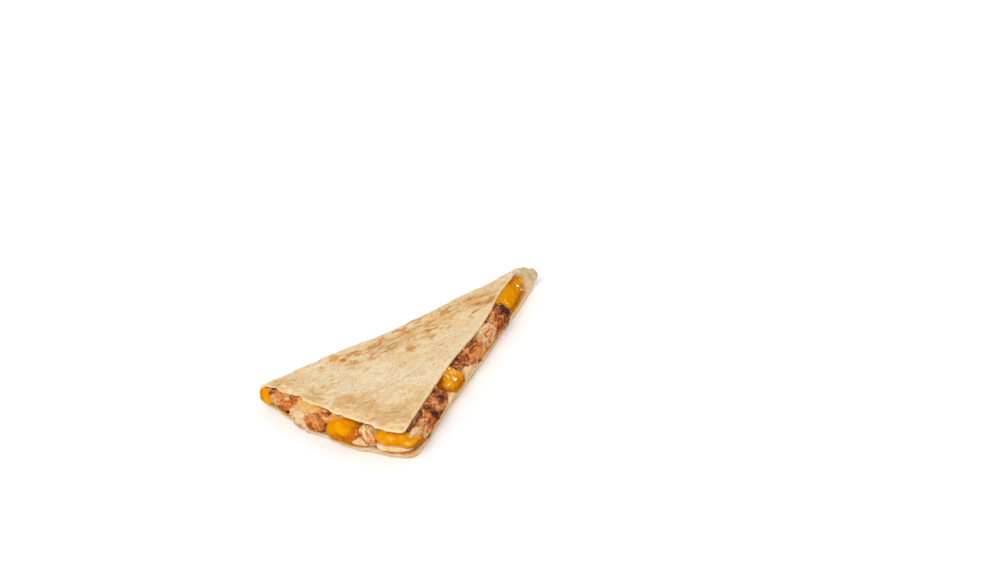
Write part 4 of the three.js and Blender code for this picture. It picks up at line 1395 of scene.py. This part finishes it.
def strands_of(spec, rng):
    """Torn strands over a piece's outer side: each path runs along the piece with a slow
    sideways wave, at a random height, and its radius swells and thins."""
    length, depth, height = np.array(spec["size"]) / 2
    share = np.linspace(-1, 1, 18)
    parts = []
    for _ in range(spec["strands"]):
        reach = rng.uniform(*STRAND["reach"]) * length
        start = rng.uniform(-1, 1) * (length - reach * 0.6)
        slope = spec.get("lean", 0.0) + rng.uniform(*STRAND["slope"])
        level = rng.uniform(*STRAND["level"])
        along = start + reach * share
        up = level * height + slope * reach * share
        up = np.clip(up + 0.45 * np.sin(share * 2.5 + rng.uniform(*PHASE)), -height, height)
        out = depth * falling(up, height, 1.1) * falling(along, length, 1.12)
        out = out + rng.uniform(*STRAND["out"]) + 0.25 * np.sin(share * 4 + rng.uniform(*PHASE))
        path = path_by(spec, along + spec.get("slant", 0.0) * up, out, up + spec["z"])
        radius = rng.uniform(*STRAND["radius"]) * taper(share, 0.3)
        parts.append(strand(path, radius * (1 + 0.2 * np.sin(share * 7 + rng.uniform(*PHASE)))))
    return parts


def smaller_chunk(spec, rng):
    """A chunk of about half the size, at a random place within a piece and tipped a little."""
    length, _, height = np.array(spec["size"]) / 2
    shrink = rng.uniform(0.42, 0.62)
    shift = rng.uniform(-1, 1, 2) * (1 - shrink) * 1.05
    step = shift[0] * length + spec.get("slant", 0.0) * shift[1] * height
    part = {
        **spec,
        "size": tuple(np.array(spec["size"]) * shrink * (1, 1.15, 1)),
        "z": spec["z"] + shift[1] * height,
        "along": spec["along"] + step / (RIM_LENGTH if spec["side"] == "rim" else 1),
        "proud": spec["proud"] + rng.uniform(-0.5, 0.5),
        "pitch": rng.uniform(-0.4, 0.4),
    }
    return chunk(part, rng, SMALL_CHUNK_GRID)


# Each noise of the meat, in the same way; a piece's number is added to the seed.
MEAT_NOISE = {
    "bend": (5, 2, 190), "bundles": (1.9, 2, 200, (4.5, 1, 1.4)), "fine": (0.8, 2, 210, (7, 1, 1.2)),
    "chunks": (4.2, 2, 230), "grit": (0.8, 2, 260), "sear": (3.0, 3, 290),
}  # fmt: skip
FIBRE_BEND = 0.8  # how far the fibres wander sideways
CHUNK_HEIGHT, GRIT_HEIGHT = 0.25, 0.07
GROOVE_WIDTH = 0.16  # of the noise's range
GROOVE_SHADE = 0.15  # painted shade: the sear that a groove adds, darkening it


def meat_noise(name, points, number):
    """One of the meat's noises at the points of the piece of this number."""
    size, octaves, seed, *stretch = MEAT_NOISE[name]
    return layered(points, size, octaves, seed + number, *stretch)


def meat_relief(points, grain, out, number):
    """Ridges, grooves, fine fibres and bundles of meat: bundles are noise stretched along the
    grain, grooves lie where it passes through zero, and finer noise makes the fibres."""
    local = np.stack([points @ grain, points @ np.cross(grain, out), points @ out], -1)
    local[:, 1] += FIBRE_BEND * meat_noise("bend", points, number)
    bundles = meat_noise("bundles", local, number)
    fine = meat_noise("fine", local, number)
    groove = bell(bundles, 0, GROOVE_WIDTH)
    return clamp01(1 - groove) * (0.6 + 0.4 * fine), groove, fine, bundles


def chicken_surface(spec, number, settings):
    """A faceted chunk, smaller ones that break its outline, and torn strands, grown together and
    smoothed; then bundles of fibre, grooves and a gritty crust are added along the normals. The sear
    mark is the piece's own level plus its spots and noise, and painted shade that darkens the grooves."""
    rng = np.random.default_rng(100 + number)
    parts = [chunk(spec, rng)]
    parts += [smaller_chunk(spec, rng) for _ in range(spec.get("bits", 3))]
    parts += strands_of(spec, rng)
    points, faces = grown_together(parts, settings.voxel / MM)
    points = relaxed(points, faces, 1)
    normals = normals_of(points, faces)

    place, way, out = frame_at(spec)
    lean = spec.get("lean", 0.0)
    grain = math.cos(lean) * way + math.sin(lean) * UP
    ridge, groove, fine, bundles = meat_relief(points, grain, out, number)
    grit = GRIT_HEIGHT * spec.get("grit", 1.0) * meat_noise("grit", points, number)
    chunks = CHUNK_HEIGHT * meat_noise("chunks", points, number)
    points = held_back(points + normals * chunks[:, None], spec.get("bulge", 1.6), hold=0.75)
    relief = settings.fibre / MM * (ridge - groove + 0.4 * fine) + grit
    points = relaxed(tucked(points + normals * relief[:, None]), faces, 1, 0.3)

    length, _, height = np.array(spec["size"]) / 2
    up = points[:, 2] - spec["z"]
    along = (points - place) @ way - spec.get("slant", 0.0) * up
    sear = spec["sear"] + spec["vary"] * meat_noise("sear", points, number)
    sear = sear + spec["stripe"] * (np.minimum(bundles, 0.6) + 0.5 * fine)
    # Painted shade: the grooves are darkened through the sear mark.
    sear = sear + grit + GROOVE_SHADE * groove
    for at_along, at_up, reach_along, reach_up, more in spec["spots"]:
        near = ((along - at_along * length) / reach_along) ** 2
        near = near + ((up - at_up * height) / reach_up) ** 2
        sear = sear + more * np.exp(-near) * (1 + 0.5 * fine)
    return points, faces, {"sear": np.clip(sear, 0, spec.get("most", 1.0))}


SHREDS = 46  # in all
SHREDS_AT = {"rim": (0.08, 0.86), "cut": (24, 112)}  # from and to, along each side


def shreds_surface():
    """Torn fibres in the gaps along the rim and the cut: short wavy paths at random places a
    little inside the edges, each with a thin tapering round profile."""
    rng = np.random.default_rng(7)
    share = np.linspace(-1, 1, 9)
    parts = []
    for _ in range(SHREDS):
        side = "rim" if rng.random() < 0.5 else "cut"
        spec = {"side": side, "along": rng.uniform(*SHREDS_AT[side]), "size": (0, 2, 0), "proud": 0}
        along = rng.uniform(*SHRED["reach"]) * share
        level, slope = rng.uniform(*SHRED["level"]), rng.uniform(*SHRED["slope"])
        phase, bow = rng.uniform(*PHASE), rng.uniform(*SHRED["bow"])
        up = level + slope * along + bow * np.sin(share * 2 + phase)
        out = rng.uniform(*SHRED["out"]) - 0.8 * share**2 + 0.3 * np.sin(share * 3 + phase)
        radius = rng.uniform(*SHRED["radius"]) * taper(share, 0.35)
        points, faces = strand(path_by(spec, along, out, up), radius, 7)
        parts.append((tucked(held_back(points, 2.0)), faces))
    points, faces = joined(parts)
    sear = clamp01(0.38 + 0.25 * layered(points, 3.0, 2, seed=300))
    return points, faces, {"sear": sear}


# How much warmer each finish is: the browned and charred ones turn orange at less sear.
WARMTH = {"chicken_pale": 0, "chicken_browned": 1, "chicken_charred": 1}


class QUESADILLA_OT_chicken(bpy.types.Operator):
    """Make the pieces of grilled chicken along the rim and the cut"""

    bl_idname = "quesadilla.chicken"
    bl_label = "Grilled Chicken"

    def execute(self, context):
        settings = context.scene.quesadilla_chicken
        finishes = {slot: chicken_finish(settings, slot, warmth) for slot, warmth in WARMTH.items()}
        for number, (name, spec) in enumerate(CHICKEN.items()):
            points, faces, marks = chicken_surface(spec, number, settings)
            slot = spec["slot"]
            add_piece("grilled_" + name, points, faces, finishes[slot], name, marks)
        points, faces, marks = shreds_surface()
        slot = "chicken_browned"
        add_piece("torn_shreds", points, faces, finishes[slot], marks=marks)
        return {"FINISHED"}


# ---- Stage ----------------------------------------------------------------------------------

AZIMUTH, ELEVATION, ROLL = (math.radians(angle) for angle in (-10.93, 30.25, 18.01))
AIM = np.array([-60.0, -30.0, 6.0])  # the point the camera is measured from
AIM_OFFSET = np.array([75.1, 79.0]) / 2835.6  # tangents of how far the view turns from it
SENSOR = 36
LENS = SENSOR / 2 / math.tan(math.radians(10))

FLOOR_REACH, FLOOR_RINGS, FLOOR_AROUND = 3.0, 24, 64
FLOOR_DROP = 0.00004  # it lies this far below the spots that the wedge rests on

SUN_WIDTH = 0.8  # the angle that its disc spans
KEY_AT, FILL_AT = (-0.45, -0.62, 0.85), (0.7, -0.5, 0.45)
FILL_SIZE, GLINT_SIZE = 0.8, 0.12
GLINTS = {
    "left": (-0.6, -0.5, 0.62), "front": (-0.1, -0.85, 0.5), "right": (0.7, -0.58, 0.42),
    "side": (0.92, -0.03, 0.4), "low": (0.98, -0.1, 0.16), "top": (0.3, -0.45, 0.85),
}  # fmt: skip


def look_along(context, settings):
    """The camera: back from the aim by azimuth and elevation, rolled, then turned a little so
    that the aim stands left of and below the middle of the picture."""
    back = np.array([
        math.sin(AZIMUTH) * math.cos(ELEVATION),
        -math.cos(AZIMUTH) * math.cos(ELEVATION),
        math.sin(ELEVATION),
    ])
    forward = -back
    right = unit(np.cross(forward, UP))
    up = np.cross(right, forward)
    side = right * math.cos(ROLL) - up * math.sin(ROLL)
    top = np.cross(side, forward)
    forward = unit(forward + AIM_OFFSET[0] * side + AIM_OFFSET[1] * top)
    side = unit(side - forward * (side @ forward))
    top = np.cross(side, forward)
    place = (AIM + SHIFT) * MM + back * settings.distance
    data = bpy.data.cameras.new("camera")
    data.lens, data.sensor_width = LENS, SENSOR
    data.clip_start, data.clip_end = 0.05, 20
    camera = bpy.data.objects.new("camera", data)
    turned = Matrix(np.stack([side, top, -forward], -1).tolist())
    camera.matrix_world = Matrix.Translation(place.tolist()) @ turned.to_4x4()
    context.scene.collection.objects.link(camera)
    context.scene.camera = camera


def add_light(context, name, place, size, power, kind="AREA", glints=False):
    """A square soft light that faces the wedge, or a sun whose disc spans an angle. Those for glints
    show only as highlights on what is glossy, and the others only light it softly."""
    data = bpy.data.lights.new(name, kind)
    data.energy = power
    if kind == "AREA":
        data.shape, data.size = "SQUARE", size
    else:
        data.angle = size
    light = bpy.data.objects.new(name, data)
    light.location = place
    light.rotation_euler = (-Vector(place)).to_track_quat("-Z", "Y").to_euler()
    light.visible_diffuse, light.visible_glossy = not glints, glints
    context.scene.collection.objects.link(light)


def floor_disc():
    """A level disc: rings of quads round a middle face with many corners."""
    angle = 2 * np.pi * np.arange(FLOOR_AROUND) / FLOOR_AROUND
    radius = FLOOR_REACH * (np.arange(1, FLOOR_RINGS + 1) / FLOOR_RINGS)[:, None]
    below = np.full((FLOOR_RINGS, FLOOR_AROUND), -FLOOR_DROP)
    points = np.stack([radius * np.cos(angle), radius * np.sin(angle), below], -1).reshape(-1, 3)
    ring = np.arange(FLOOR_RINGS - 1)[:, None] * FLOOR_AROUND
    step = np.arange(FLOOR_AROUND)[None, :]
    a, b = ring + step, ring + (step + 1) % FLOOR_AROUND
    faces = np.stack([a, a + FLOOR_AROUND, b + FLOOR_AROUND, b], -1).reshape(-1, 4)
    mesh = bpy.data.meshes.new("floor")
    mesh.from_pydata(points.tolist(), [], faces.tolist() + [tuple(range(FLOOR_AROUND))])
    return mesh


class QUESADILLA_OT_stage(bpy.types.Operator):
    """Make the floor, the lights and the camera"""

    bl_idname = "quesadilla.stage"
    bl_label = "Stage"

    def execute(self, context):
        settings = context.scene.quesadilla_stage
        mesh = floor_disc()
        f = Finish("pale_floor")
        colour = colours(settings, "floor")[0]
        mesh.materials.append(f.done(Base_Color=colour, Roughness=0.9, Specular_IOR_Level=0.1))
        floor = bpy.data.objects.new("floor", mesh)
        context.scene.collection.objects.link(floor)
        floor.visible_glossy = False
        add_light(context, "key", KEY_AT, SUN_WIDTH, settings.key, "SUN")
        for name, place in GLINTS.items():
            add_light(context, "glint_" + name, place, GLINT_SIZE, settings.glint, glints=True)
        add_light(context, "fill", FILL_AT, FILL_SIZE, settings.fill)
        world = bpy.data.worlds.new("pale_surroundings")
        world.use_nodes = True
        background = world.node_tree.nodes["Background"]
        background.inputs["Color"].default_value = (1, 1, 1, 1)
        background.inputs["Strength"].default_value = settings.sky
        world.cycles_visibility.glossy = False
        context.scene.world = world
        context.scene.view_settings.view_transform = "Standard"
        look_along(context, settings)
        return {"FINISHED"}


# ---- Panel and registration -----------------------------------------------------------------

OPERATORS = (
    QUESADILLA_OT_tortilla,
    QUESADILLA_OT_cheese,
    QUESADILLA_OT_sauce,
    QUESADILLA_OT_chicken,
    QUESADILLA_OT_stage,
)

SETTINGS = {
    "quesadilla_tortilla": TortillaSettings,
    "quesadilla_cheese": CheeseSettings,
    "quesadilla_sauce": SauceSettings,
    "quesadilla_chicken": ChickenSettings,
    "quesadilla_stage": StageSettings,
}


class QUESADILLA_PT_panel(bpy.types.Panel):
    """Buttons and settings for the wedge."""

    bl_idname = "QUESADILLA_PT_panel"
    bl_label = "Quesadilla Wedge"
    bl_space_type = "VIEW_3D"
    bl_region_type = "UI"
    bl_category = "Quesadilla"

    def draw(self, context):
        for operator, group in zip(OPERATORS, SETTINGS):
            box = self.layout.box()
            box.operator(operator.bl_idname)
            settings = getattr(context.scene, group)
            for name in settings.bl_rna.properties.keys():
                if name not in ("rna_type", "name"):
                    box.prop(settings, name)


CLASSES = (*SETTINGS.values(), *OPERATORS, QUESADILLA_PT_panel)


def register():
    for each in CLASSES:
        bpy.utils.register_class(each)
    for name, group in SETTINGS.items():
        setattr(bpy.types.Scene, name, bpy.props.PointerProperty(type=group))


def unregister():
    for name in SETTINGS:
        delattr(bpy.types.Scene, name)
    for each in reversed(CLASSES):
        bpy.utils.unregister_class(each)


def main():
    register()
    for operator in OPERATORS:
        group, name = operator.bl_idname.split(".")
        getattr(getattr(bpy.ops, group), name)()


if __name__ == "__main__":
    main()
